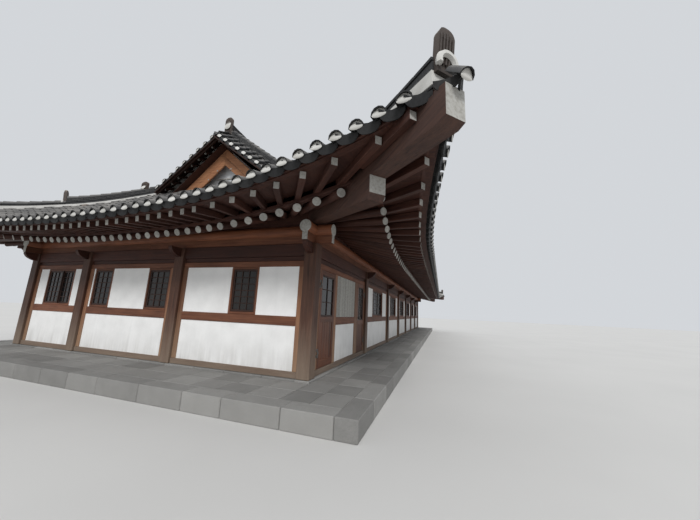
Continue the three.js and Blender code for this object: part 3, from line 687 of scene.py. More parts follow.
# Painted light: the purlins' timber is lighter and more orange than the eave timbers, standing in for light
# thrown up under the eaves.
bounceLitPurlinTimber = woodFinish("bounceLitPurlinTimber", (0.11, 0.036, 0.018), (0.30, 0.105, 0.045))
gableTimber = woodFinish("gableTimber", (0.22, 0.085, 0.040), (0.52, 0.25, 0.12))
doorTimber = woodFinish("doorTimber", (0.075, 0.026, 0.013), (0.17, 0.06, 0.028), 0.5)
floorTimber = woodFinish("floorTimber", (0.20, 0.11, 0.055), (0.40, 0.24, 0.12), 0.45)
endPaint = paintFinish()
granite = graniteFinish()
mortar = plasterFinish("joints", (0.30, 0.29, 0.27), (0.22, 0.21, 0.20))
shadedRoomGlass = glassFinish()
steel = metalFinish()
print("finishes made")

# Roof tiles. x runs across a tile, y up the slope from its lower end, z off the bed.
tiles = {
    "coverRadius": 0.095,
    "coverTaper": 0.9,       # size of the upper end
    "coverTilt": 0.014,      # rise of the lower end over the tile below
    "coverStep": 0.30,
    "coverLift": 0.055,      # seat of the cover tiles over the bed
    "mouthRim": 0.014,
    "mouthDepth": 0.05,
    "plugSize": (0.083, 0.007, 0.078),
    "plugReach": 0.012,      # how far the plug stands out of the mouth's bottom
    "plugLift": 0.016,
    "panStep": 0.25,
    "panLift": 0.035,
    "panHalfWidth": 0.148,
    "panThickness": 0.022,
    "overlap": 0.035,
    "apron": 0.10,           # depth of the eave pans' hanging front
    "apronBow": 0.018,
    "apronThickness": 0.024,
    "apronLift": 0.006,
    "jitter": 0.003,
    "offset": {"cover": 0, "pan": 0.5, "apron": 0.5},           # of the rows, in pitches
    "reach": {"cover": 0.055, "pan": 0.015, "apron": 0.015},    # past the eave line
    "shortest": {"cover": 0.34, "pan": 0.14, "apron": 0.03},    # shorter rows beside the tips are left out
}
coverLength = tiles["coverStep"] + tiles["overlap"]


# A cover tile, closed or with an open mouth at its lower end.
def modelCover(facets, mouth=False):
    startShape(
        bpy.ops.mesh.primitive_cylinder_add, vertices=2 * facets, radius=tiles["coverRadius"],
        depth=coverLength, rotation=(math.pi / 2, 0, 0), location=(0, coverLength / 2, 0),
    )
    bpy.ops.mesh.bisect(plane_co=(0, 0, 0), plane_no=(0, 0, 1), clear_inner=True, use_fill=True)
    pick("VERT", lambda vert: vert.co.y > coverLength / 2)
    resize(tiles["coverTaper"], 1, tiles["coverTaper"], (0, coverLength, 0))
    pick("VERT", lambda vert: vert.co.y < coverLength / 2)
    move(z=tiles["coverTilt"])
    if mouth:
        pick("FACE", facing(1, -1))
        bpy.ops.mesh.inset(thickness=tiles["mouthRim"])
        extrude(y=tiles["mouthDepth"])
    return takeShape()


# A pan tile: a few facets of a wide tube, with its lower end raised over the tile below.
def modelPan(facets, tubeSides=20):
    length = tiles["panStep"] + tiles["overlap"]
    turn = 2 * math.pi / tubeSides
    radius = tiles["panHalfWidth"] / math.sin(turn * facets / 2)
    startShape(
        bpy.ops.mesh.primitive_cylinder_add, vertices=tubeSides, radius=radius, depth=length,
        rotation=(math.pi / 2, 0, 0), location=(0, length / 2, radius), end_fill_type="NOTHING",
    )
    rim = radius * (1 - math.cos(turn * facets / 2)) + 1e-4
    bpy.ops.mesh.bisect(plane_co=(0, 0, rim), plane_no=(0, 0, 1), clear_outer=True)
    bpy.ops.mesh.select_all(action="SELECT")
    extrude(z=-tiles["panThickness"])
    pick("VERT", lambda vert: vert.co.y < length / 2)
    move(z=tiles["panThickness"])
    return takeShape()


# The plug of lime plaster in the mouth of an eave's cover tile, bulging outwards at its foot.
def modelPlug():
    startShape(bpy.ops.mesh.primitive_uv_sphere_add, segments=12, ring_count=8, radius=1)
    bpy.ops.mesh.bisect(plane_co=(0, 0.3, 0), plane_no=(0, 1, 0), clear_outer=True, use_fill=True)
    bpy.ops.mesh.select_all(action="SELECT")
    resize(*tiles["plugSize"])
    pick("VERT", lambda vert: vert.co.z < -0.01)
    resize(1.04, 1.0, 0.45)
    for low, high, bulge in ((-0.1, -0.005, 0.045), (-0.005, 0.02, 0.042), (0.02, 0.05, 0.020)):
        pick("VERT", lambda vert: low < vert.co.z < high)
        move(y=-bulge)
    return takeShape()


# The hanging front of an eave's pan tile: a plate with a scalloped lower edge and a thin rim.
def modelApron(cells=8):
    startShape(bpy.ops.mesh.primitive_grid_add, x_subdivisions=cells, y_subdivisions=1, size=2)
    bpy.ops.transform.rotate(value=math.pi / 2, orient_axis="X", center_override=(0, 0, 0))
    half = tiles["panHalfWidth"] - 0.004
    for i in range(cells + 1):
        across = -1 + 2 * i / cells
        for low in (False, True):
            pick("VERT", lambda vert: abs(vert.co.x - across) < 0.01 and (vert.co.z < 0) == low)
            drop = tiles["apron"] * (1 - 0.55 * across ** 4) if low else 0
            resize(half, 1, 0)
            move(z=tiles["apronBow"] * across ** 2 - drop)
    bpy.ops.mesh.select_all(action="SELECT")
    extrude(y=tiles["apronThickness"])
    return takeShape()


coverTile = modelCover(6)
eaveCover = modelCover(6, mouth=True)
panTile = modelPan(4)
plugShape = modelPlug()
apronShape = modelApron()
print("tiles modelled:", len(coverTile["starts"]), len(panTile["starts"]), len(plugShape["starts"]), "faces")


# Highest u of a row of tiles.
def rowEnd(side, w):
    near = min(w, sideLength[side] - w)
    if not isLong(side):
        return min(near, roof["gableWall"] - 0.01)
    if near < roof["gable"] + 0.2:
        return min(near, roof["gable"] + 0.03)
    return reachY - 0.02


# The tiles of a slope's rows, as w, length up the slope and highest u, and which of them are the lowest.
def rowPlaces(side, kind):
    step = tiles["coverStep"] if kind == "cover" else tiles["panStep"]
    count = round(sideLength[side] / roof["rowPitch"])
    rows, lowest = [], []
    for i in range(count + 1):
        w = (i + tiles["offset"][kind]) * sideLength[side] / count
        start, end = float(arcOf(eaveInset(side, w))), float(arcOf(rowEnd(side, w)))
        if end - start >= tiles["shortest"][kind]:
            for place in np.arange(start, end - 0.04, step):
                rows.append((w, place - tiles["reach"][kind], rowEnd(side, w)))
                lowest.append(place == start)
    return np.array(rows), np.array(lowest)


def tileTones(count):
    return np.clip(chance.normal(0.5, 0.2, count), 0, 1)


def layTiles(pile, side, shape, rows, lift):
    tone = tileTones(len(rows))
    x, y, z = shape["points"].T
    w0, arc0, end = rows.T[:, :, None]
    shift = (chance.random((len(rows), 1)) - 0.5) * 2 * tiles["jitter"]
    w = w0 + x + shift
    near = np.minimum(w, sideLength[side] - w)
    onHip = end < roof["gable"] - 0.01
    limit = np.where(onHip, np.minimum(near, end + 0.2), end)
    pile.add(shape, layOnSlope(side, w, w0 + 0.5 * x, arc0 + y, lift + z + shift, limit), tone=tone)


# Rows of cover tiles with plugs in the lowest, and pan tiles with aprons on the lowest.
def tileSlope(side):
    covers, pans = Pile(), Pile()
    rows, lowest = rowPlaces(side, "cover")
    layTiles(covers, side, coverTile, rows[~lowest], tiles["coverLift"])
    layTiles(covers, side, eaveCover, rows[lowest], tiles["coverLift"])
    x, y, z = plugShape["points"].T
    w0, arc0, _ = rows[lowest].T[:, :, None]
    recess = tiles["mouthDepth"] - tiles["plugReach"]
    height = tiles["coverLift"] + tiles["plugLift"] + z
    covers.add(plugShape, layOnSlope(side, w0 + x, w0 + 0.5 * x, arc0 + recess + y, height), paint=1)
    layTiles(pans, side, panTile, rowPlaces(side, "pan")[0], tiles["panLift"])
    rows, lowest = rowPlaces(side, "apron")
    layTiles(pans, side, apronShape, rows[lowest], tiles["panLift"] + tiles["apronLift"])
    covers.finish(side + "_cover_tiles", [tileClay, limePlaster], "roof_tile", replaces=[side + "_roof"])
    pans.finish(side + "_pan_tiles", [tileClay], "roof_tile", replaces=[side + "_roof"], sharp=40)


for side in sides:
    tileSlope(side)
print("tiles laid")

# Boards on the rafters, and the eave boards between the courses of rafters.
eave = {
    "deckThickness": 0.024,
    "courseLines": (0.10, 0.5, 0.92),
    "longest": 3.6,
    "cornerLines": 24,
    "hipMargin": 0.15,       # from the hip line to the boards' ends
    "lap": 0.004,
    "boards": (              # e of the outer face, what it lies on, lift, width and depth
        (0.14, courseBoard, 0.0, 0.10, 0.07),
        (0.07, courseBoard, 0.02, 0.05, 0.075),
        (0.86, rafterBoard, 0.0, 0.10, 0.07),
    ),
}


# Lines along an eave from one hip line to the other: close together at the tips, long in the middle.
def eaveLines(side, e, margin=0.0):
    start = lastPlace(0.0, 6.0, lambda w: w < float(eaveInset(side, w)) + e) + margin
    if isLong(side):
        start = min(start, roof["gable"])
    curve, count = roof["riseLength"], eave["cornerLines"]
    corner = [start + (curve - start) * i / count for i in range(count + 1)]
    middle = sideLength[side] - 2 * curve
    pieces = math.ceil(middle / eave["longest"])
    level = [curve + middle * i / pieces for i in range(1, pieces)]
    return np.array(corner + level + [sideLength[side] - w for w in reversed(corner)])


def laySheet(pile, side, eLines, under):
    grid = [eaveLines(side, e) for e in eLines]
    shape, i, j, k = slabOf(len(grid[0]) - 1, len(eLines) - 1)
    e = np.array(eLines)[j]
    w = np.array(grid)[j, i]
    x, y = onPlan(side, w, eaveInset(side, w) + e)
    z = under(side, e) + eaveRise(side, w) + k * eave["deckThickness"]
    pile.add(shape, np.stack([x, y, z], axis=1), np.stack([e, w, z], axis=1), tone=0.4)


# A board that follows the eave at e, in lengths joined end to end.
def eaveBoard(pile, side, e, under, lift, width, depth):
    w = eaveLines(side, e, eave["hipMargin"])
    x, y = onPlan(side, w, eaveInset(side, w) + e + width / 2)
    z = under(side, e + width / 2) + lift + eaveRise(side, w) + depth / 2
    points = np.stack([x, y, z], axis=1)
    for start, end in zip(points[:-1], points[1:]):
        lap = (end - start) / np.linalg.norm(end - start) * eave["lap"]
        addBar(pile, start - lap, end + lap, width, depth, bevel=0.004, tone=0.5)


def eaveWood(side):
    pile = Pile()
    laySheet(pile, side, eave["courseLines"], courseBoard)
    top = (reachY if isLong(side) else roof["gableWall"]) - roof["curveIn"][side]
    over = overhang(side)
    lines = [1.4, over, over + boards["past"], over + 0.5, over + boards["bendPast"], 3.7, 4.4, 5.3, 6.2]
    laySheet(pile, side, [0.93, *(e for e in lines if e < top - 0.2), top], rafterBoard)
    for board in eave["boards"]:
        eaveBoard(pile, side, *board)
    pile.finish(side + "_eave_boards", [eaveTimber], "dark_timber", replaces=[side + "_roof"])


for side in sides:
    eaveWood(side)
print("boards laid")

# Rafters: round ones level in the middle and fanned at the corners, square flying ones on their ends.
rafters = {
    "radius": 0.075,
    "end": 0.85,
    "past": 0.13,            # past the purlin's line
    "pitch": 0.29,
    "fanReach": 4.44,
    "firstFan": 1.72,
    "fanCount": 7,
    "fanSpread": 0.9,
    "flyingEnds": (0.20, 0.93),
    "flyingSize": (0.10, 0.12),
    "gap": 0.004,            # under the boards
    "tip": ((0.50, 0.24), (1.30, 1.04)),    # w and u of the flying rafter beside each hip rafter
    "tipDrop": 0.07,
    "fillBottom": 3.46,
}
logShape = modelLog(14)


def outerEnd(side, w):
    return np.array([w, float(eaveInset(side, w)) + rafters["end"]])


# Plan lines of the rafters of one corner: outer point and the unit step inwards, as w and u.
def fanLines(side):
    centre = np.array([rafters["fanReach"], rafters["fanReach"]])
    for i in range(rafters["fanCount"]):
        share = (i / rafters["fanCount"]) ** rafters["fanSpread"]
        outer = outerEnd(side, rafters["firstFan"] + (rafters["fanReach"] - rafters["firstFan"]) * share)
        yield outer, (centre - outer) / np.linalg.norm(centre - outer)


def levelLines(side):
    run = sideLength[side] - 2 * rafters["fanReach"]
    count = round(run / rafters["pitch"])
    for i in range(count + 1):
        yield outerEnd(side, rafters["fanReach"] + i * run / count), np.array([0.0, 1.0])


# How far along a rafter's line a distance from the tiles' edge is reached.
def reachAlong(side, outer, step, target):
    def short(t):
        w, u = outer + step * t
        return u - float(eaveInset(side, w)) < target

    return lastPlace(-3.0, 3.0, short)


def underBoard(side, w, u, under, drop, far):
    z = under(side, u - float(eaveInset(side, w))) + float(eaveRise(side, w)) - drop
    return np.array([*onPlan(side, fromTip(side, w, far), u), z])


def rafterPair(side, flying, logs, outer, step, far):
    def place(t, under, drop):
        return underBoard(side, *(outer + step * t), under, drop, far)

    radius = rafters["radius"]
    if step[0] == 0:
        innerAt = reachAlong(side, outer, step, overhang(side) + rafters["past"])
    else:
        innerAt = (reachY - halfDepth + 0.03 - outer[1]) / step[1]
    tone = chance.random()
    ends = place(0, rafterBoard, radius + rafters["gap"]), place(innerAt, rafterBoard, radius + 0.012)
    addLog(logs, logShape, *ends, radius, tone)
    drop = rafters["flyingSize"][1] / 2 + rafters["gap"]
    ends = [place(reachAlong(side, outer, step, e), courseBoard, drop) for e in rafters["flyingEnds"]]
    addBar(flying, *ends, *rafters["flyingSize"], shape=paintedBar, tone=chance.random())


# The fill between the round rafters over the purlin.
def rafterFill(pile, side):
    w = eaveLines(side, overhang(side), 0.2)
    u = reachY - halfDepth + 0.01
    x, y = onPlan(side, w, np.full(len(w), u))
    for i in range(len(w) - 1):
        middle = (w[i] + w[i + 1]) / 2
        top = float(rafterBoard(side, u - eaveInset(side, middle)) + eaveRise(side, middle))
        z = (rafters["fillBottom"] + top) / 2
        depth = top - rafters["fillBottom"]
        addBar(pile, (x[i], y[i], z), (x[i + 1], y[i + 1], z), 0.05, depth, bevel=0.002, tone=0.45)


def rafterCourse(side):
    flying, logs = Pile(), Pile()
    for line in levelLines(side):
        rafterPair(side, flying, logs, *line, False)
    for line in fanLines(side):
        for far in (False, True):
            rafterPair(side, flying, logs, *line, far)
    for far in (False, True):
        ends = [underBoard(side, w, u, courseBoard, rafters["tipDrop"], far) for w, u in rafters["tip"]]
        addBar(flying, *ends, *rafters["flyingSize"], shape=paintedBar, tone=0.5)
    rafterFill(logs, side)
    finishes = [eaveTimber, endPaint]
    flying.finish(side + "_flying_rafters", finishes, "dark_timber", replaces=[side + "_flying_eave"])
    logs.finish(side + "_round_rafters", finishes, "timber", replaces=[side + "_rafters"])


for side in sides:
    rafterCourse(side)
print("rafters set")

# Ridges: a bed of lime plaster, courses of flat tiles with shadow gaps, and cover tiles on top.
courses = {
    "depth": 0.042, "gap": 0.010, "length": 0.30, "bedStep": 0.25, "sway": 0.008,
    "white": 0.15, "tipWhite": 0.05, "tipReach": 1.2,       # height of the white foot, higher at the tips
}


def spaced(path, t0, t1, step):
    t = np.linspace(t0, t1, 400)
    points = np.array([path(value) for value in t])
    arc = np.concatenate([[0], np.cumsum(np.linalg.norm(np.diff(points, axis=0), axis=1))])
    count = max(1, round(arc[-1] / step))
    return np.interp(np.linspace(0, arc[-1], count + 1), arc, t)


def ridgeFrame(path, a, b):
    start, end = path(a), path(b)
    return start, end, *axesOf(start, end)[1]


# A band under or inside a ridge, between two heights over its path.
def ridgeBand(pile, path, places, low, high, width, paint):
    shape, i, j, k = slabOf(len(places) - 1)
    last = len(places) - 1
    across = [ridgeFrame(path, places[max(0, n - 1)], places[min(last, n + 1)])[3] for n in range(last + 1)]
    base = np.array([path(t) for t in places])[i]
    height = np.where(k == 1, np.array([high(t) for t in places])[i], np.array([low(t) for t in places])[i])
    sideways = (j - 0.5)[:, None] * width * np.array(across)[i]
    pile.add(shape, base + sideways + height[:, None] * np.array([0, 0, 1]), tone=0.4, paint=paint)


# The courses break joint: every other one starts with half a tile.
def ridgeCourse(pile, path, t0, t1, bedTop, course, width):
    stones = spaced(path, t0, t1, courses["length"])
    if course % 2:
        stones = np.concatenate([[t0], (stones[:-1] + stones[1:]) / 2, [t1]])
    depth, gap = courses["depth"], courses["gap"]
    low = gap + course * (depth + gap) + depth / 2
    for a, b in zip(stones[:-1], stones[1:]):
        start, end, ahead, across, _ = ridgeFrame(path, a, b)
        shift = (chance.random() - 0.5) * courses["sway"] * across
        addBar(
            pile, start + (0, 0, bedTop(a) + low) + ahead * 0.002 + shift,
            end + (0, 0, bedTop(b) + low) - ahead * 0.002 + shift, width, depth, bevel=0.004,
            tone=float(tileTones(1)[0]), paint=0,
        )


def ridgeRun(pile, path, t0, t1, bedTop, count, width, onHip=False):
    places = spaced(path, t0, t1, courses["bedStep"])
    total = count * (courses["depth"] + courses["gap"])

    def whiteTop(t):
        tip = courses["tipWhite"] * max(0.0, 1 - t / courses["tipReach"]) if onHip else 0
        return min(bedTop(t), courses["white"] + tip)

    ridgeBand(pile, path, places, lambda t: 0.02, whiteTop, width - 0.01, 1)
    ridgeBand(pile, path, places, whiteTop, bedTop, width - 0.03, 0)
    ridgeBand(pile, path, places, lambda t: bedTop(t) - 0.01, lambda t: bedTop(t) + total, width - 0.07, 0)
    for course in range(count):
        ridgeCourse(pile, path, t0, t1, bedTop, course, width)
    caps = spaced(path, t0, t1, courses["length"])
    x, y, z = coverTile["points"].T
    for a, b in zip(caps[:-1], caps[1:]):
        start, end, _, across, _ = ridgeFrame(path, a, b)
        start = start + (0, 0, bedTop(a) + total + 0.004)
        end = end + (0, 0, bedTop(b) + total + 0.004)
        run = np.linalg.norm(end - start)
        ahead = (end - start) / run
        local = np.stack([y / coverLength * (run + 0.03), -x, z], axis=1)
        axes = np.array([ahead, across, np.cross(ahead, across)])
        pile.add(coverTile, start + local @ axes, tone=tileTones(1), paint=0)


endTiles = {
    "head": ((0.08, 0.93), (0.07, 0.82), (0.045, 0.68), (0.025, 0.5)),    # rises and widths
    "headTop": 1.22,
    "ribs": 5,
    "ribPitch": 0.19,
    "ribWidth": 0.11,
}


# An upright end tile: a tapered plate with a rounded head and a sunk face.
def modelEndTile():
    startShape(bpy.ops.mesh.primitive_cube_add, size=1, location=(0, 0, 0.5))
    pick("FACE", facing(2, 1))
    bpy.ops.mesh.inset(thickness=0.0)
    for rise, narrower in endTiles["head"]:
        extrude(z=rise)
        resize(narrower, 0.93, 1, (0, 0, 1))
    pick("FACE", lambda face: face.normal.y < -0.7 and face.calc_center_median().z < 1)
    bpy.ops.mesh.inset(thickness=0.09)
    extrude(y=0.12)
    return takeShape()


endTile = modelEndTile()


# An end tile with upright ribs on its face.
def addEndTile(pile, base, outwards, width, thickness, height, lean=0.0):
    x, y, z = endTile["points"].T
    outwards = np.asarray(outwards, float) / np.linalg.norm(outwards)
    across = np.cross(outwards, (0, 0, 1))
    local = np.stack([x * width, -y * thickness + z * lean, z * height / endTiles["headTop"]], axis=1)
    pile.add(endTile, base + local @ np.array([across, outwards, (0, 0, 1)]), tone=[1.0], paint=0)
    for i in range(endTiles["ribs"]):
        off = i - endTiles["ribs"] // 2
        place = base + across * width * off * endTiles["ribPitch"] + outwards * thickness * 0.44
        ends = [
            place + outwards * lean * part + (0, 0, part * height / endTiles["headTop"])
            for part in (0.2, 1.06 - 0.04 * abs(off))
        ]
        addBar(
            pile, *ends, endTiles["ribWidth"] * width, 0.035, up=outwards, bevel=0.005, tone=1.0, paint=0,
        )


# An arch of plaster round a dark mouth, as it stands at the foot of an end tile.
def modelArch():
    startShape(
        bpy.ops.mesh.primitive_torus_add, major_segments=18, minor_segments=6, major_radius=1,
        minor_radius=0.3, rotation=(math.pi / 2, 0, 0),
    )
    bpy.ops.mesh.bisect(plane_co=(0, 0, -0.3), plane_no=(0, 0, 1), clear_inner=True, use_fill=True)
    return takeShape()


# A lump of plaster on the outer face of an end tile.
def addLump(pile, shape, centre, outwards, scale, size=1.0, **settings):
    axes = np.array([np.cross(outwards, (0, 0, 1)), -outwards, (0, 0, 1)])
    pile.add(shape, centre + shape["points"] * scale * size @ axes, paint=1, **settings)


archShape = modelArch()
hips = {
    "start": 0.20, "step": 3.04, "end": 4.77, "width": 0.29, "lowBed": 0.185, "highBed": 0.215,
    "tipBed": 0.16, "tipReach": 1.5, "endTileAt": 0.195, "tileLift": 0.165, "lean": 0.04,
    "endTile": (0.22, 0.085, 0.52), "stepTile": (0.15, 0.075, 0.52), "arch": (0.52, 0.62, 0.52),
    "cornerTile": (0.95, 0.78, 0.9), "cornerPlug": (0.9, 0.8, 0.85), "cornerSlope": 1.4,
}
cornerSigns = [(-1, -1), (1, -1), (1, 1), (-1, 1)]


def hipRidge(index, signs):
    pile = Pile()
    outwards = np.array([signs[0], signs[1], 0.0])

    def path(t):
        height = float(bedHeight("front", np.float64(t), t))
        return np.array([signs[0] * (reachX - t), signs[1] * (reachY - t), height])

    def lowTop(t):
        return hips["lowBed"] + hips["tipBed"] * max(0.0, 1 - t / hips["tipReach"]) ** 2

    # Steeper than the hip, for the cover tile that closes the tip.
    def cornerLine(t):
        return path(t) + (0, 0, hips["cornerSlope"] * t - 0.05)

    ridgeRun(pile, path, hips["start"], hips["step"], lowTop, 1, hips["width"], onHip=True)
    ridgeRun(pile, path, hips["step"], hips["end"], lambda t: hips["highBed"], 3, hips["width"])
    for t, size in ((hips["endTileAt"], hips["endTile"]), (hips["step"] - 0.03, hips["stepTile"])):
        base = path(t) + (0, 0, hips["tileLift"])
        addEndTile(pile, base, outwards, *size, lean=hips["lean"])
        centre = base + outwards * 0.05 + (0, 0, 0.09)
        addLump(pile, archShape, centre, outwards / math.sqrt(2), hips["arch"], size[0], tone=0.7)
    foot, _, ahead, across, raised = ridgeFrame(cornerLine, -0.01, 0.2)
    axes = np.array([across, ahead, raised])
    pile.add(eaveCover, foot + eaveCover["points"] * hips["cornerTile"] @ axes, tone=0.2, paint=0)
    plug = plugShape["points"] * hips["cornerPlug"] + (0, 0.03, 0.014)
    pile.add(plugShape, foot + plug @ axes, tone=0.6, paint=1)
    finishes = [tileClay, limePlaster]
    pile.finish(f"corner_ridge_{index}", finishes, "roof_tile", replaces=[f"hip_ridge_{index}"])


for index, signs in enumerate(cornerSigns, 1):
    hipRidge(index, signs)

ridge = {
    "half": 11.15, "width": 0.32, "bed": 0.21, "courses": 4, "endLift": 0.16, "endFrom": 0.65,
    "endTile": (0.30, 0.09, 0.70), "footTile": (0.30, 0.08, 0.45), "footAt": 4.45, "footLift": 0.28,
    "descendingInset": 0.35, "descendingBed": 0.2, "descendingWidth": 0.29,
}


def topRidge():
    pile = Pile()

    def path(x):
        share = (abs(x) / ridge["half"] - ridge["endFrom"]) / 0.35
        return np.array([x, 0.0, roof["ridgeHeight"] + ridge["endLift"] * max(0.0, share) ** 2])

    half = ridge["half"]
    ridgeRun(pile, path, -half, half, lambda t: ridge["bed"], ridge["courses"], ridge["width"])
    for sign in (-1, 1):
        outwards = np.array([sign, 0.0, 0.0])
        base = path(sign * half)
        addEndTile(pile, base, outwards, *ridge["endTile"])
        addLump(pile, plugShape, base + (sign * 0.04, 0, 0.30), outwards, (1.55, 1.2, 3.2), tone=0.7)
    for side in ("front", "back"):
        for far in (False, True):
            descendingRidge(pile, side, far)
    pile.finish("top_ridge", [tileClay, limePlaster], "roof_tile", replaces=["main_ridge"])


# The ridge beside a gable, with its end tile further down, on the hip line.
def descendingRidge(pile, side, far):
    w = fromTip(side, roof["gable"] + ridge["descendingInset"], far)

    def onBed(w, u):
        return np.array([*onPlan(side, w, u), float(bedHeight(side, np.float64(w), u))])

    ridgeRun(
        pile, lambda u: onBed(w, u), roof["gable"], reachY - 0.06, lambda t: ridge["descendingBed"],
        ridge["courses"], ridge["descendingWidth"],
    )
    t = ridge["footAt"]
    x, y = onPlan(side, fromTip(side, t, far), t)
    foot = np.array([x, y, float(bedHeight(side, np.float64(t), t)) + ridge["footLift"]])
    outwards = np.array([math.copysign(1, x), 0.0, 0.0])
    addEndTile(pile, foot, outwards, *ridge["footTile"])
    addLump(pile, plugShape, foot + outwards * 0.03 + (0, 0, 0.2), outwards, (1.3, 1.2, 1.8))


topRidge()
print("ridges built")

# Verges: short rows of tiles that fall outwards over the gable's boards, on small rafters of their own.
verge = {
    "inner": 4.92, "outer": 4.36, "fall": 0.56, "top": 0.13, "pitch": 0.36, "foot": 0.42,
    "rafterSize": (0.075, 0.075), "rafterOuter": 4.58, "rafterDrop": 0.13, "panWiden": 1.12,
}
verge["length"] = verge["inner"] - verge["outer"]
verge["boards"] = (          # distance out, width, drop and thickness
    (0.34, 0.55, 0.075, 0.03),
    (verge["length"] - 0.10, 0.06, 0.10, 0.08),
)
vergeRafter = modelBar(2, 3)


def vergeRows():
    start, end = float(arcOf(roof["gable"] + verge["foot"])), float(arcOf(reachY))
    count = round((end - start) / verge["pitch"])
    return start + (np.arange(count) + 0.5) * (end - start) / count


# Points of a verge by length up the slope, distance out from its inner end and lift off its fall.
def vergePoints(side, far, arc, out, lift):
    u = uOf(arc)
    slope = bedSlope(u)
    norm = np.hypot(1, slope)
    x, y = onPlan(side, fromTip(side, verge["inner"] - out, far), u - lift * slope / norm)
    bed = bedHeight(side, fromTip(side, verge["inner"], far), u)
    return pointsOf(x, y, bed + verge["top"] - verge["fall"] * out + lift / norm)


def gableVerge(side, far):
    pile = Pile()
    length, between = verge["length"], verge["pitch"] / 2
    turn = 1 if far else -1

    # A shape with its lower end at a distance out; x runs up the slope.
    def lay(shape, arc, out, lift, widen=1.0, **settings):
        x, y, z = shape["points"].T
        pile.add(shape, vergePoints(side, far, arc + turn * x * widen, out - y, lift + z), **settings)

    for arc in vergeRows():
        for outer in (length / 2 - 0.03, length):
            tone = tileTones(1)
            lay(coverTile, arc, outer, 0.03, tone=tone, paint=0)
            lay(panTile, arc + between, outer, 0.0, verge["panWiden"], tone=tone, paint=0)
        lay(plugShape, arc, length - 0.005, 0.045, tone=0.6, paint=1)
        lay(apronShape, arc + between, length, 0.01, paint=0)
        reach = np.array([0.0, verge["inner"] - verge["rafterOuter"]])
        inner, outer = vergePoints(side, far, arc, reach, -verge["rafterDrop"])
        addBar(pile, outer, inner, *verge["rafterSize"], bevel=0.004, shape=vergeRafter, tone=0.3)
    ends = np.concatenate([[arcOf(roof["gable"] + verge["foot"]) - 0.1], vergeRows(), [arcOf(reachY)]])
    for out, width, drop, thickness in verge["boards"]:
        for a, b in zip(ends[:-1], ends[1:]):
            start, end = vergePoints(side, far, np.array([a, b]), np.array([out, out]), -drop)
            outwards = vergePoints(side, far, np.array([a]), np.array([out + 0.1]), -drop)[0] - start
            up = np.cross(end - start, outwards)
            up = up if up[2] > 0 else -up
            addBar(pile, start, end, width, thickness, up=up, bevel=0.003, tone=0.2, paint=2)
    return pile


for side in ("front", "back"):
    for far in (False, True):
        name = f"{side}_{'left' if far == (side == 'back') else 'right'}_verge"
        finishes = [tileClay, limePlaster, darkTimber, endPaint]
        gableVerge(side, far).finish(name, finishes, "roof_tile", replaces=["main_ridge"])
print("verges laid")

# Gable boards in two planks a side, with studs, and the ledge of the gable's wall.
gableBoards = {
    "outer": 4.93, "thickness": 0.055, "top": 0.02, "planks": ((0.0, 0.33), (0.34, 0.62)), "foot": 5.52,
    "studs": (0.30, 2.0, 0.36), "studRadius": 0.028, "ledge": (6.30, 6.345),
}


# Height of a line below the roof's underside, at a distance from the house's middle.
def gableLine(y, drop):
    e = reachY - np.abs(y) - roof["curveIn"]["front"]
    return rafterBoard("front", e) + gableBoards["top"] - drop


# Distance from the middle at which such a line comes down to a height.
def gableReach(height, drop, farthest=3.4):
    return float(np.interp(-height, [-gableLine(0, drop), -gableLine(farthest, drop)], [0, farthest]))


def gableBoardsOf(side, sign):
    pile = Pile()
    outer = sign * (reachX - gableBoards["outer"])
    inner = outer - sign * gableBoards["thickness"]
    shape, i, j, k = slabOf(12)
    lowest = gableBoards["planks"][1][1]
    for half in (-1, 1):
        for low, high in gableBoards["planks"]:
            y = np.linspace(0.002, gableReach(gableBoards["foot"], low), 13)[i]
            z = np.maximum(gableBoards["foot"], gableLine(y, np.where(j == 1, low, high)))
            x = np.where(k == 1, outer, inner)
            grain = np.stack([y, z, x], axis=1) + chance.random(3) * 30
            pile.add(shape, np.stack([x, half * y, z], axis=1), grain, tone=chance.random())
        for place in np.arange(*gableBoards["studs"]):
            z = gableLine(place, lowest - 0.06)
            if z > gableBoards["foot"] + 0.05:
                centre = np.array([outer, half * place, z])
                ends = centre + (sign * 0.012, 0, 0), centre - (sign * 0.02, 0, 0)
                addLog(pile, logShape, *ends, gableBoards["studRadius"], paint=1)
    finishes = [gableTimber, endPaint]
    pile.finish(side + "_gable_planks", finishes, "gable_boards", replaces=[side + "_bargeboards"])
    wall = sign * (reachX - roof["gableWall"])
    ledge = Pile()
    low, high = gableBoards["ledge"]
    half = gableReach(low, lowest) + 0.1
    addBlock(ledge, (wall - sign * 0.01, -half, low), (wall + sign * 0.06, half, high), 1, tone=0.6)
    ledge.finish(side + "_gable_ledge", [endPaint], "plaster")


for side, sign in (("left", -1), ("right", 1)):
    gableBoardsOf(side, sign)
print("gable boards set")

# Walls. a runs along a wall as seen from outside, d outwards; the corner columns stand in the end walls.
walls = {
    "bays": {
        "front": [4.2, 4.2, 3.6, 3.6, 3.6, 3.6, 3.6], "back": [3.6, 3.6, 3.6, 3.6, 3.6, 4.2, 4.2],
        "right": [3.6, 3.45, 2.45], "left": [2.45, 3.45, 3.6],
    },
    "column": 0.28, "jambWidth": 0.13, "jambDepth": 0.14, "sillDepth": 0.18, "beamDepth": 0.20,
    "stone": 0.33, "sill": 0.45, "rail": (1.335, 1.525), "head": 2.578, "headRail": 2.70,
    "beam": 2.80, "top": 3.07, "bayWindow": 1.9, "windowFrame": 0.05,
    "bracket": {"width": 0.11, "inner": 0.14, "reach": 0.42, "depth": 0.23, "rise": 0.13, "beak": 0.05},
    "endWindows": [(1.27, 2.01), (3.87, 4.65), (5.97, 6.72), (7.60, 8.84)],
    "entrance": {"board": (0.34, 1.24), "panel": (1.39, 2.97), "entrance": (3.25, 4.0)},
}


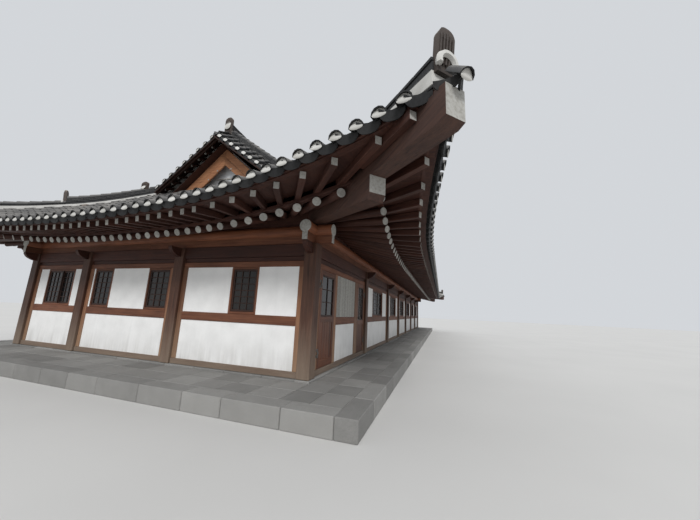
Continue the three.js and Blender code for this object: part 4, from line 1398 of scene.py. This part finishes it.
def onWall(side, a, d, z):
    standOff = halfDepth if isLong(side) else halfLength
    if side == "front":
        return a, -standOff - d, z
    if side == "right":
        return standOff + d, a, z
    if side == "back":
        return -a, standOff + d, z
    return -standOff - d, -a, z


# A pile on one wall. along is the grain's axis: 0 along the wall, 2 upright.
class WallPile(Pile):
    def __init__(self, side):
        super().__init__()
        self.side = side

    def block(self, a, d, z, along, **settings):
        low, high = (np.array(onWall(self.side, *place)) for place in zip(a, d, z))
        addBlock(self, low, high, along if along == 2 or isLong(self.side) else 1 - along, **settings)

    # A rectangle of four members round an opening.
    def ring(self, a, z, width, d, **settings):
        self.block((a[0], a[0] + width), d, z, 2, **settings)
        self.block((a[1] - width, a[1]), d, z, 2, **settings)
        inner = (a[0] + width - 0.002, a[1] - width + 0.002)
        self.block(inner, d, (z[1] - width, z[1]), 0, **settings)
        self.block(inner, d, (z[0], z[0] + width), 0, **settings)

    # A glazed leaf with its lattice of thin bars.
    def sash(self, a, z, columns, rows, front, stile=0.045):
        self.ring(a, z, stile, (front - 0.035, front), bevel=0.004, paint=1)
        across = (a[0] + stile - 0.005, a[1] - stile + 0.005)
        upright = (z[0] + stile - 0.005, z[1] - stile + 0.005)
        self.block(across, (front - 0.030, front - 0.022), upright, 2, bevel=0.001, paint=2, tone=0.5)

        def barAt(low, high, share):
            middle = low + stile + (high - low - 2 * stile) * share
            return middle - 0.009, middle + 0.009

        for n in range(1, columns):
            spot = barAt(*a, n / columns)
            self.block(spot, (front - 0.023, front - 0.006), upright, 2, bevel=0.002, paint=1)
        for n in range(1, rows):
            spot = barAt(*z, n / rows)
            self.block(across, (front - 0.022, front - 0.008), spot, 0, bevel=0.002, paint=1)


def columnPlaces(side):
    bays = walls["bays"][side]
    return np.concatenate([[0], np.cumsum(bays)]) - sum(bays) / 2


# A bracket with a curved underside that ends in a short beak.
def addBracket(pile, a, tone):
    plan = walls["bracket"]
    shape, i, j, k = slabOf(12)
    d = np.linspace(-plan["inner"], plan["reach"], 13)[i]
    share = np.clip((d - plan["inner"]) / (plan["reach"] - plan["inner"]), 0, 1)
    beak = plan["beak"] * np.maximum(0, share - 0.8) / 0.2
    low = walls["top"] - plan["depth"] + plan["rise"] * share ** 1.6 + beak
    z = np.where(j == 1, walls["top"] - 0.004, low)
    spot = a + (k - 0.5) * plan["width"]
    grain = np.stack([d, spot, z], axis=1) + chance.random(3) * 30
    pile.add(shape, pointsOf(*onWall(pile.side, spot, d, z)), grain, tone, 2)


def centredOn(size):
    return -size / 2, size / 2


def wallFrame(side):
    pile = WallPile(side)
    half = walls["column"] / 2
    places = columnPlaces(side)
    low, high = walls["sill"], walls["head"]
    jamb = centredOn(walls["jambDepth"])
    bottom = walls["stone"] + 0.001
    for a in places[1:-1] if isLong(side) else places:
        settings = {"bevel": 0.012, "tone": chance.random(), "paint": 1}
        pile.block((a - half, a + half), (-half, half), (bottom, walls["top"]), 2, **settings)
        addBracket(pile, a, 0.4)
    for index, run in enumerate(zip(places[:-1] + half, places[1:] - half)):
        pile.block(run, centredOn(walls["sillDepth"]), (bottom, low), 0, paint=1)
        pile.block(run, jamb, (high, walls["headRail"]), 0, paint=0)
        inner = centredOn(walls["jambDepth"] - 0.03)
        pile.block(run, inner, (walls["headRail"] + 0.003, walls["beam"]), 0, paint=2, tone=0.3)
        beam = (walls["beam"], walls["top"])
        pile.block(run, centredOn(walls["beamDepth"]), beam, 0, bevel=0.01, paint=2)
        posts = [(run[0], run[0] + walls["jambWidth"]), (run[1] - walls["jambWidth"], run[1])]
        if side == "front" and index == 0:
            spots = walls["entrance"]
            edges = [0.14, *spots["board"], *spots["panel"], *spots["entrance"], 4.06]
            posts = [(places[0] + edges[n], places[0] + edges[n + 1]) for n in (0, 2, 4, 6)]
            pile.block(tuple(places[0] + edge for edge in spots["panel"]), jamb, walls["rail"], 0)
        for post in posts:
            pile.block(post, jamb, (low, high), 2, paint=3)
    finishes = [redTimber, columnTimber, beamTimber, jambTimber]
    pile.finish(side + "_wall_frame", finishes, "timber", replaces=[side + "_frame"])


def windowSpans(side):
    if not isLong(side):
        spans = [(a0 - halfDepth, a1 - halfDepth) for a0, a1 in walls["endWindows"]]
        return spans if side == "right" else [(-a1, -a0) for a0, a1 in spans]
    places = columnPlaces(side)
    middles = (places[:-1] + places[1:]) / 2
    half = walls["bayWindow"] / 2
    return [(middle - half, middle + half) for middle in middles[1 if side == "front" else 0:]]


def windowRow(side):
    pile = WallPile(side)
    half = walls["column"] / 2 + walls["jambWidth"]
    places = columnPlaces(side)
    for index, (a0, a1) in enumerate(zip(places[:-1] + half, places[1:] - half)):
        if side != "front" or index > 0:
            pile.block((a0 + 0.0005, a1 - 0.0005), centredOn(walls["jambDepth"]), walls["rail"], 0, paint=0)
    frame = walls["windowFrame"]
    for a0, a1 in windowSpans(side):
        z = (walls["rail"][1] + 0.001, walls["head"] - 0.001)
        pile.ring((a0, a1), z, frame, centredOn(0.112), bevel=0.008, paint=0)
        inner, tall = (a0 + frame, a1 - frame), (z[0] + frame, z[1] - frame)
        if a1 - a0 > 1.0:
            middle = (a0 + a1) / 2
            pile.sash((inner[0], middle + 0.02), tall, 3, 6, 0.036)
            pile.sash((middle - 0.02, inner[1]), tall, 3, 6, 0.0)
        else:
            pile.sash(inner, tall, 3, 6, 0.036)
    finishes = [redTimber, darkTimber, shadedRoomGlass]
    pile.finish(side + "_window_row", finishes, "dark_timber", replaces=[side + "_windows"])


for side in sides:
    wallFrame(side)
    windowRow(side)

# Pale upright battens on the upper part of the entrance panel.
battens = WallPile("front")
battenEdges = np.linspace(*(edge - halfLength for edge in walls["entrance"]["panel"]), 21)
battenHeights = (walls["rail"][1] + 0.002, walls["head"] - 0.002)
for a0, a1 in zip(battenEdges[:-1], battenEdges[1:]):
    battens.block((a0 + 0.006, a1 - 0.006), (0.045, 0.058), battenHeights, 2, bevel=0.006)
battens.finish("entrance_battens", [endPaint], "plaster")
print("walls built")

# Doors: leaves with stiles, rails, boards and glass, and butt hinges of which half is on the jamb.
doors = {
    "outer": 0.07, "thickness": 0.045, "z": (0.456, 2.572), "boards": 5,
    "stile": 0.09, "bottomRail": 0.16, "middleRail": 0.12, "topRail": 0.10,
    "hingeHeights": (0.75, 2.218), "barrel": 0.06, "barrelRadius": 0.011, "standOff": 0.012,
    "strap": (0.07, 0.008), "otherHalf": 0.0603,
    "leaves": {
        "board_door": {
            "a": (-12.854, -11.966), "axis": -12.857, "towards": 1, "lattice": (2, 3), "middle": 1.42,
        },
        "entrance_door": {
            "a": (-9.944, -9.206), "axis": -9.203, "towards": -1, "lattice": (3, 6), "middle": 1.30,
        },
    },
    "knob": (-9.855, 1.50),
}


def addHinge(pile, axis, towards, bottom, paint):
    outer, barrel = doors["outer"], doors["barrel"]
    length, thickness = doors["strap"]
    strap = (axis, axis + towards * length), (outer - 0.001, outer + thickness), (bottom, bottom + barrel)
    pile.block(*strap, 2, bevel=0.001, paint=paint)
    foot = np.array(onWall("front", axis, outer + doors["standOff"], bottom))
    ends = foot + (0, 0, barrel), foot
    addLog(pile, logShape, *ends, doors["barrelRadius"], rim=0.002, paint=paint, up=(0, 1, 0))


def addKnob(pile, front):
    a, z = doors["knob"]
    spot, out = np.array(onWall("front", a, 0, z)), np.array([0, -1, 0])
    addLog(pile, logShape, spot + out * 0.118, spot + out * (front - 0.002), 0.014, rim=0.002, paint=3)
    addLog(pile, logShape, spot + out * 0.143, spot + out * 0.117, 0.032, rim=0.008, paint=3)
    plate = (a - 0.03, a + 0.03), (front - 0.001, front + 0.004), (z - 0.09, z + 0.09)
    pile.block(*plate, 2, bevel=0.001, paint=3)


def doorLeaf(name):
    plan, pile = doors["leaves"][name], WallPile("front")
    a0, a1 = plan["a"]
    z0, z1 = doors["z"]
    middle, top, stile = plan["middle"], doors["topRail"], doors["stile"]
    d = (doors["outer"] - doors["thickness"], doors["outer"])
    inner = (a0 + stile - 0.002, a1 - stile + 0.002)
    for spot in ((a0, a0 + stile), (a1 - stile, a1)):
        pile.block(spot, d, (z0, z1), 2, bevel=0.004)
    rails = (z0, z0 + doors["bottomRail"]), (middle, middle + doors["middleRail"]), (z1 - top, z1)
    for spot in rails:
        pile.block(inner, d, spot, 0, bevel=0.004)
    width = (inner[1] - inner[0]) / doors["boards"]
    for n in range(doors["boards"]):
        spot = (inner[0] + n * width + 0.002, inner[0] + (n + 1) * width - 0.002)
        pile.block(spot, (d[0] + 0.010, d[1] - 0.012), (z0 + 0.155, middle + 0.005), 2, bevel=0.005)
    glazed = (inner[0] - 0.02, inner[1] + 0.02), (middle + 0.11, z1 - 0.09)
    pile.sash(*glazed, *plan["lattice"], d[1] - 0.007)
    for bottom in doors["hingeHeights"]:
        addHinge(pile, plan["axis"], plan["towards"], bottom, 3)
    if name == "entrance_door":
        addKnob(pile, d[1])
    finishes = [doorTimber, darkTimber, shadedRoomGlass, steel]
    pile.finish(name + "_leaf", finishes, "door_timber", body=name + "_leaf", replaces=[name])


for name in doors["leaves"]:
    doorLeaf(name)
jambHinges = WallPile("front")
for plan in doors["leaves"].values():
    for bottom in doors["hingeHeights"]:
        for step in (-doors["otherHalf"], doors["otherHalf"]):
            addHinge(jambHinges, plan["axis"], -plan["towards"], bottom + step, 0)
jambHinges.finish("jamb_hinges", [steel], "fitting_metal")
print("doors hung")

# Round eave purlins with their bearing strips; their ends pass the corner columns.
purlins = {"radius": 0.13, "centre": 3.36, "overrun": 0.45, "stripWidth": 0.12, "strip": (3.071, 3.29)}
purlinShape = modelLog(24)
for side in sides:
    pile = WallPile(side)
    half = (halfLength if isLong(side) else halfDepth) + purlins["overrun"]
    for sign in (-1, 1):
        ends = [np.array(onWall(side, a, 0, purlins["centre"])) for a in (sign * half, 0)]
        addLog(pile, purlinShape, *ends, purlins["radius"], tone=0.6, rim=0.012)
        run, across = (0, sign * (half - 0.01)), centredOn(purlins["stripWidth"])
        pile.block(run, across, purlins["strip"], 0, bevel=0.008, paint=2)
        spot = sign * (half - 0.006)
        pile.block((spot, spot - sign * 0.01), centredOn(0.118), purlins["strip"], 2, paint=1)
    finishes = [bounceLitPurlinTimber, endPaint, redTimber]
    pile.finish(side + "_eave_purlin", finishes, "timber", replaces=[side + "_purlin"])
print("purlins laid")


# Hip rafters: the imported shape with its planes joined, its edges worn and its outer ends painted.
def hipRafter(index, signs):
    clearSelection()
    item = bpy.data.objects.new(f"corner_rafter_{index}", nodes[f"hip_rafter_{index}"].data.copy())
    bpy.context.scene.collection.objects.link(item)
    item.matrix_world = nodes[f"hip_rafter_{index}"].matrix_world
    item.select_set(True)
    bpy.context.view_layer.objects.active = item
    bpy.ops.object.transform_apply(location=True, rotation=True, scale=True)
    bpy.ops.object.mode_set(mode="EDIT")
    bpy.ops.mesh.select_all(action="SELECT")
    bpy.ops.mesh.remove_doubles(threshold=1e-4)
    bpy.ops.mesh.dissolve_limited(angle_limit=math.radians(2))
    bpy.ops.object.mode_set(mode="OBJECT")
    wear = item.modifiers.new("wear", "BEVEL")
    wear.width, wear.segments, wear.limit_method, wear.angle_limit = 0.012, 1, "ANGLE", math.radians(25)
    bpy.ops.object.modifier_apply(modifier="wear")
    mesh = item.data
    mesh.materials.clear()
    for finish in (hipTimber, endPaint):
        mesh.materials.append(finish)
    outwards = Vector((signs[0], signs[1], 0)).normalized()
    for face in mesh.polygons:
        along = (face.center - Vector((signs[0] * halfLength, signs[1] * halfDepth, 0))).dot(outwards)
        face.material_index = int(face.normal.dot(outwards) > 0.9 and along > 2.3)
    points = readPoints(mesh)
    along = points[:, 0] * outwards.x + points[:, 1] * outwards.y
    across = points[:, 0] * outwards.y - points[:, 1] * outwards.x
    grain = np.stack([along, across, points[:, 2] - along * 0.2], axis=1)
    writeAttributes(mesh, grain, np.full(len(points), 0.5))
    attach(item, "root")
    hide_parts(f"hip_rafter_{index}")
    print("piece", item.name, len(mesh.polygons), "faces")


for index, signs in enumerate(cornerSigns, 1):
    hipRafter(index, signs)

# Terrace of dressed stones with a paved top and a low course under the walls; floorboards inside.
terrace = {
    "top": 0.30, "reach": 1.55, "edgeDepth": 0.34, "stoneLength": 0.95, "paverLength": 0.62, "joint": 0.008,
    "bottom": 0.2,           # of the pavers and the course
    "course": 0.16, "courseTop": 0.33, "courseLength": 0.8,
    "floorTop": 0.44, "boardWidth": 0.21, "boardLength": 3.3,
}


def lengthsOf(low, high, step, ragged=0.25):
    count = max(1, round((high - low) / step))
    edges = np.linspace(low, high, count + 1)
    edges[1:-1] += (chance.random(count - 1) - 0.5) * step * ragged
    return edges


def layStones(pile, xRange, yRange, zRange, step, alongX, bevel=0.012):
    edges = lengthsOf(*(xRange if alongX else yRange), step)
    joint = terrace["joint"] / 2
    for a, b in zip(edges[:-1], edges[1:]):
        settle = (chance.random() - 0.5) * 0.004
        x = (a + joint, b - joint) if alongX else xRange
        y = yRange if alongX else (a + joint, b - joint)
        low = np.array([x[0], y[0], zRange[0]])
        high = np.array([x[1], y[1], zRange[1] - 0.003 + settle * 0.5])
        addBlock(pile, low, high, 0 if alongX else 1, bevel=bevel, tone=chance.random())


# Stones along one long side and one end of a rectangle, inwards from its reach.
def layEdge(pile, sign, reach, depth, zRange, step):
    y = sorted((sign * reach[1], sign * (reach[1] - depth)))
    layStones(pile, (-reach[0], reach[0]), y, zRange, step, True)
    x = sorted((sign * reach[0], sign * (reach[0] - depth)))
    layStones(pile, x, (-reach[1] + depth, reach[1] - depth), zRange, step, False)


def makeTerrace():
    pile = Pile()
    outer = halfLength + terrace["reach"], halfDepth + terrace["reach"]
    inner = halfLength + terrace["course"], halfDepth + terrace["course"]
    edge, joint, top, bottom = (terrace[key] for key in ("edgeDepth", "joint", "top", "bottom"))
    core = np.array([outer[0] - 0.03, outer[1] - 0.03])
    addBlock(pile, np.array([*-core, 0.002]), np.array([*core, top - 0.02]), 0, paint=1)
    for sign in (-1, 1):
        layEdge(pile, sign, outer, edge, (0, top), terrace["stoneLength"])
    for sign in (-1, 1):
        for axis, run in ((1, (-outer[0] + edge, outer[0] - edge)), (0, (-inner[1], inner[1]))):
            rows = np.linspace(inner[axis] + joint, outer[axis] - edge - joint, 3)
            for low, high in zip(rows[:-1], rows[1:]):
                row = sorted((sign * (low + joint / 2), sign * (high - joint / 2)))
                ranges = (run, row) if axis else (row, run)
                layStones(pile, *ranges, (bottom, top - 0.004), terrace["paverLength"], axis == 1, 0.006)
        course = (bottom, terrace["courseTop"])
        layEdge(pile, sign, inner, 2 * terrace["course"], course, terrace["courseLength"])
    pile.finish("stone_terrace", [granite, mortar], "stone", replaces=["platform"])
def makeFloorboards():
    pile = Pile()
    x, y = halfLength - 0.142, halfDepth - 0.142
    rows = np.linspace(-y, y, round(2 * y / terrace["boardWidth"]) + 1)
    for index, (low, high) in enumerate(zip(rows[:-1], rows[1:])):
        shift = (index % 3) * terrace["boardLength"] / 3
        edges = np.clip(np.arange(-x - shift, x + terrace["boardLength"], terrace["boardLength"]), -x, x)
        for a, b in zip(edges[:-1], edges[1:]):
            if b - a > 0.05:
                addBlock(
                    pile, np.array([a + 0.001, low + 0.001, terrace["courseTop"] + 0.001]),
                    np.array([b - 0.001, high - 0.001, terrace["floorTop"]]), 0, bevel=0.003,
                )
    pile.finish("floorboards", [floorTimber], "floor_boards", replaces=["room_floor"])


makeTerrace()
makeFloorboards()
print("terrace and floor laid")

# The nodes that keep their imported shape: plaster sheets and gable walls.
for name, item in nodes.items():
    if not item.hide_render:
        item.data.materials.clear()
        item.data.materials.append(litGablePlaster if "gable_wall" in name else whitePlaster)
        print("kept", name)

# Floor, light and camera.
studio = {
    "floor": (0.62, 0.61, 0.59),
    "sky": (0.88, 0.91, 0.95),
    "skyStrength": 0.74,
    "sunStrength": 2.0,
    "sunSoftness": 0.3,
    "sunFrom": (-0.85, -0.30, 0.66),
}
camera = {
    "place": (-18.538, -7.347, 1.665),
    "yaw": 18.28,
    "pitch": 10.51,
    "roll": 2.38,
    "focal": 280.5,          # in pixels of an image 700 wide
}


def makeFloor():
    clearSelection()
    bpy.ops.mesh.primitive_circle_add(vertices=64, radius=150, fill_type="NGON")
    floor = bpy.context.object
    floor.name = "studio_floor"
    made = Finish("paleFloor", **{"Specular IOR Level": 0.2})
    drift = made.noise(made.place(), 0.35, 3, 0.5)
    light = tuple(value * 1.05 for value in studio["floor"])
    shade = made.mix(made.range(drift, 0.3, 0.7), studio["floor"], light)
    floor.data.materials.append(made.set(Base_Color=shade, Roughness=0.9))


def makeLight():
    bpy.context.scene.view_settings.view_transform = "Standard"
    world = bpy.data.worlds.new("studioLight")
    bpy.context.scene.world = world
    world.use_nodes = True
    background = world.node_tree.nodes["Background"]
    background.inputs["Color"].default_value = (*studio["sky"], 1)
    background.inputs["Strength"].default_value = studio["skyStrength"]
    lamp = bpy.data.lights.new("softSun", "SUN")
    lamp.energy = studio["sunStrength"]
    lamp.angle = studio["sunSoftness"]
    sun = bpy.data.objects.new("softSun", lamp)
    bpy.context.scene.collection.objects.link(sun)
    sun.rotation_euler = Vector(studio["sunFrom"]).to_track_quat("Z", "Y").to_euler()


def makeCamera():
    yaw, pitch, roll = (math.radians(camera[key]) for key in ("yaw", "pitch", "roll"))
    ahead = Vector((math.cos(yaw) * math.cos(pitch), math.sin(yaw) * math.cos(pitch), math.sin(pitch)))
    level = Vector((math.sin(yaw), -math.cos(yaw), 0))
    above = level.cross(ahead)
    across = math.cos(roll) * level + math.sin(roll) * above
    upwards = math.cos(roll) * above - math.sin(roll) * level
    lens = bpy.data.cameras.new("camera")
    lens.sensor_width = 36
    lens.lens = 36 * camera["focal"] / 700
    lens.clip_start, lens.clip_end = 0.05, 500
    item = bpy.data.objects.new("camera", lens)
    bpy.context.scene.collection.objects.link(item)
    turn = Matrix((across, upwards, -ahead)).transposed().to_4x4()
    item.matrix_world = Matrix.Translation(camera["place"]) @ turn
    bpy.context.scene.camera = item


makeFloor()
makeLight()
makeCamera()
print("studio ready")
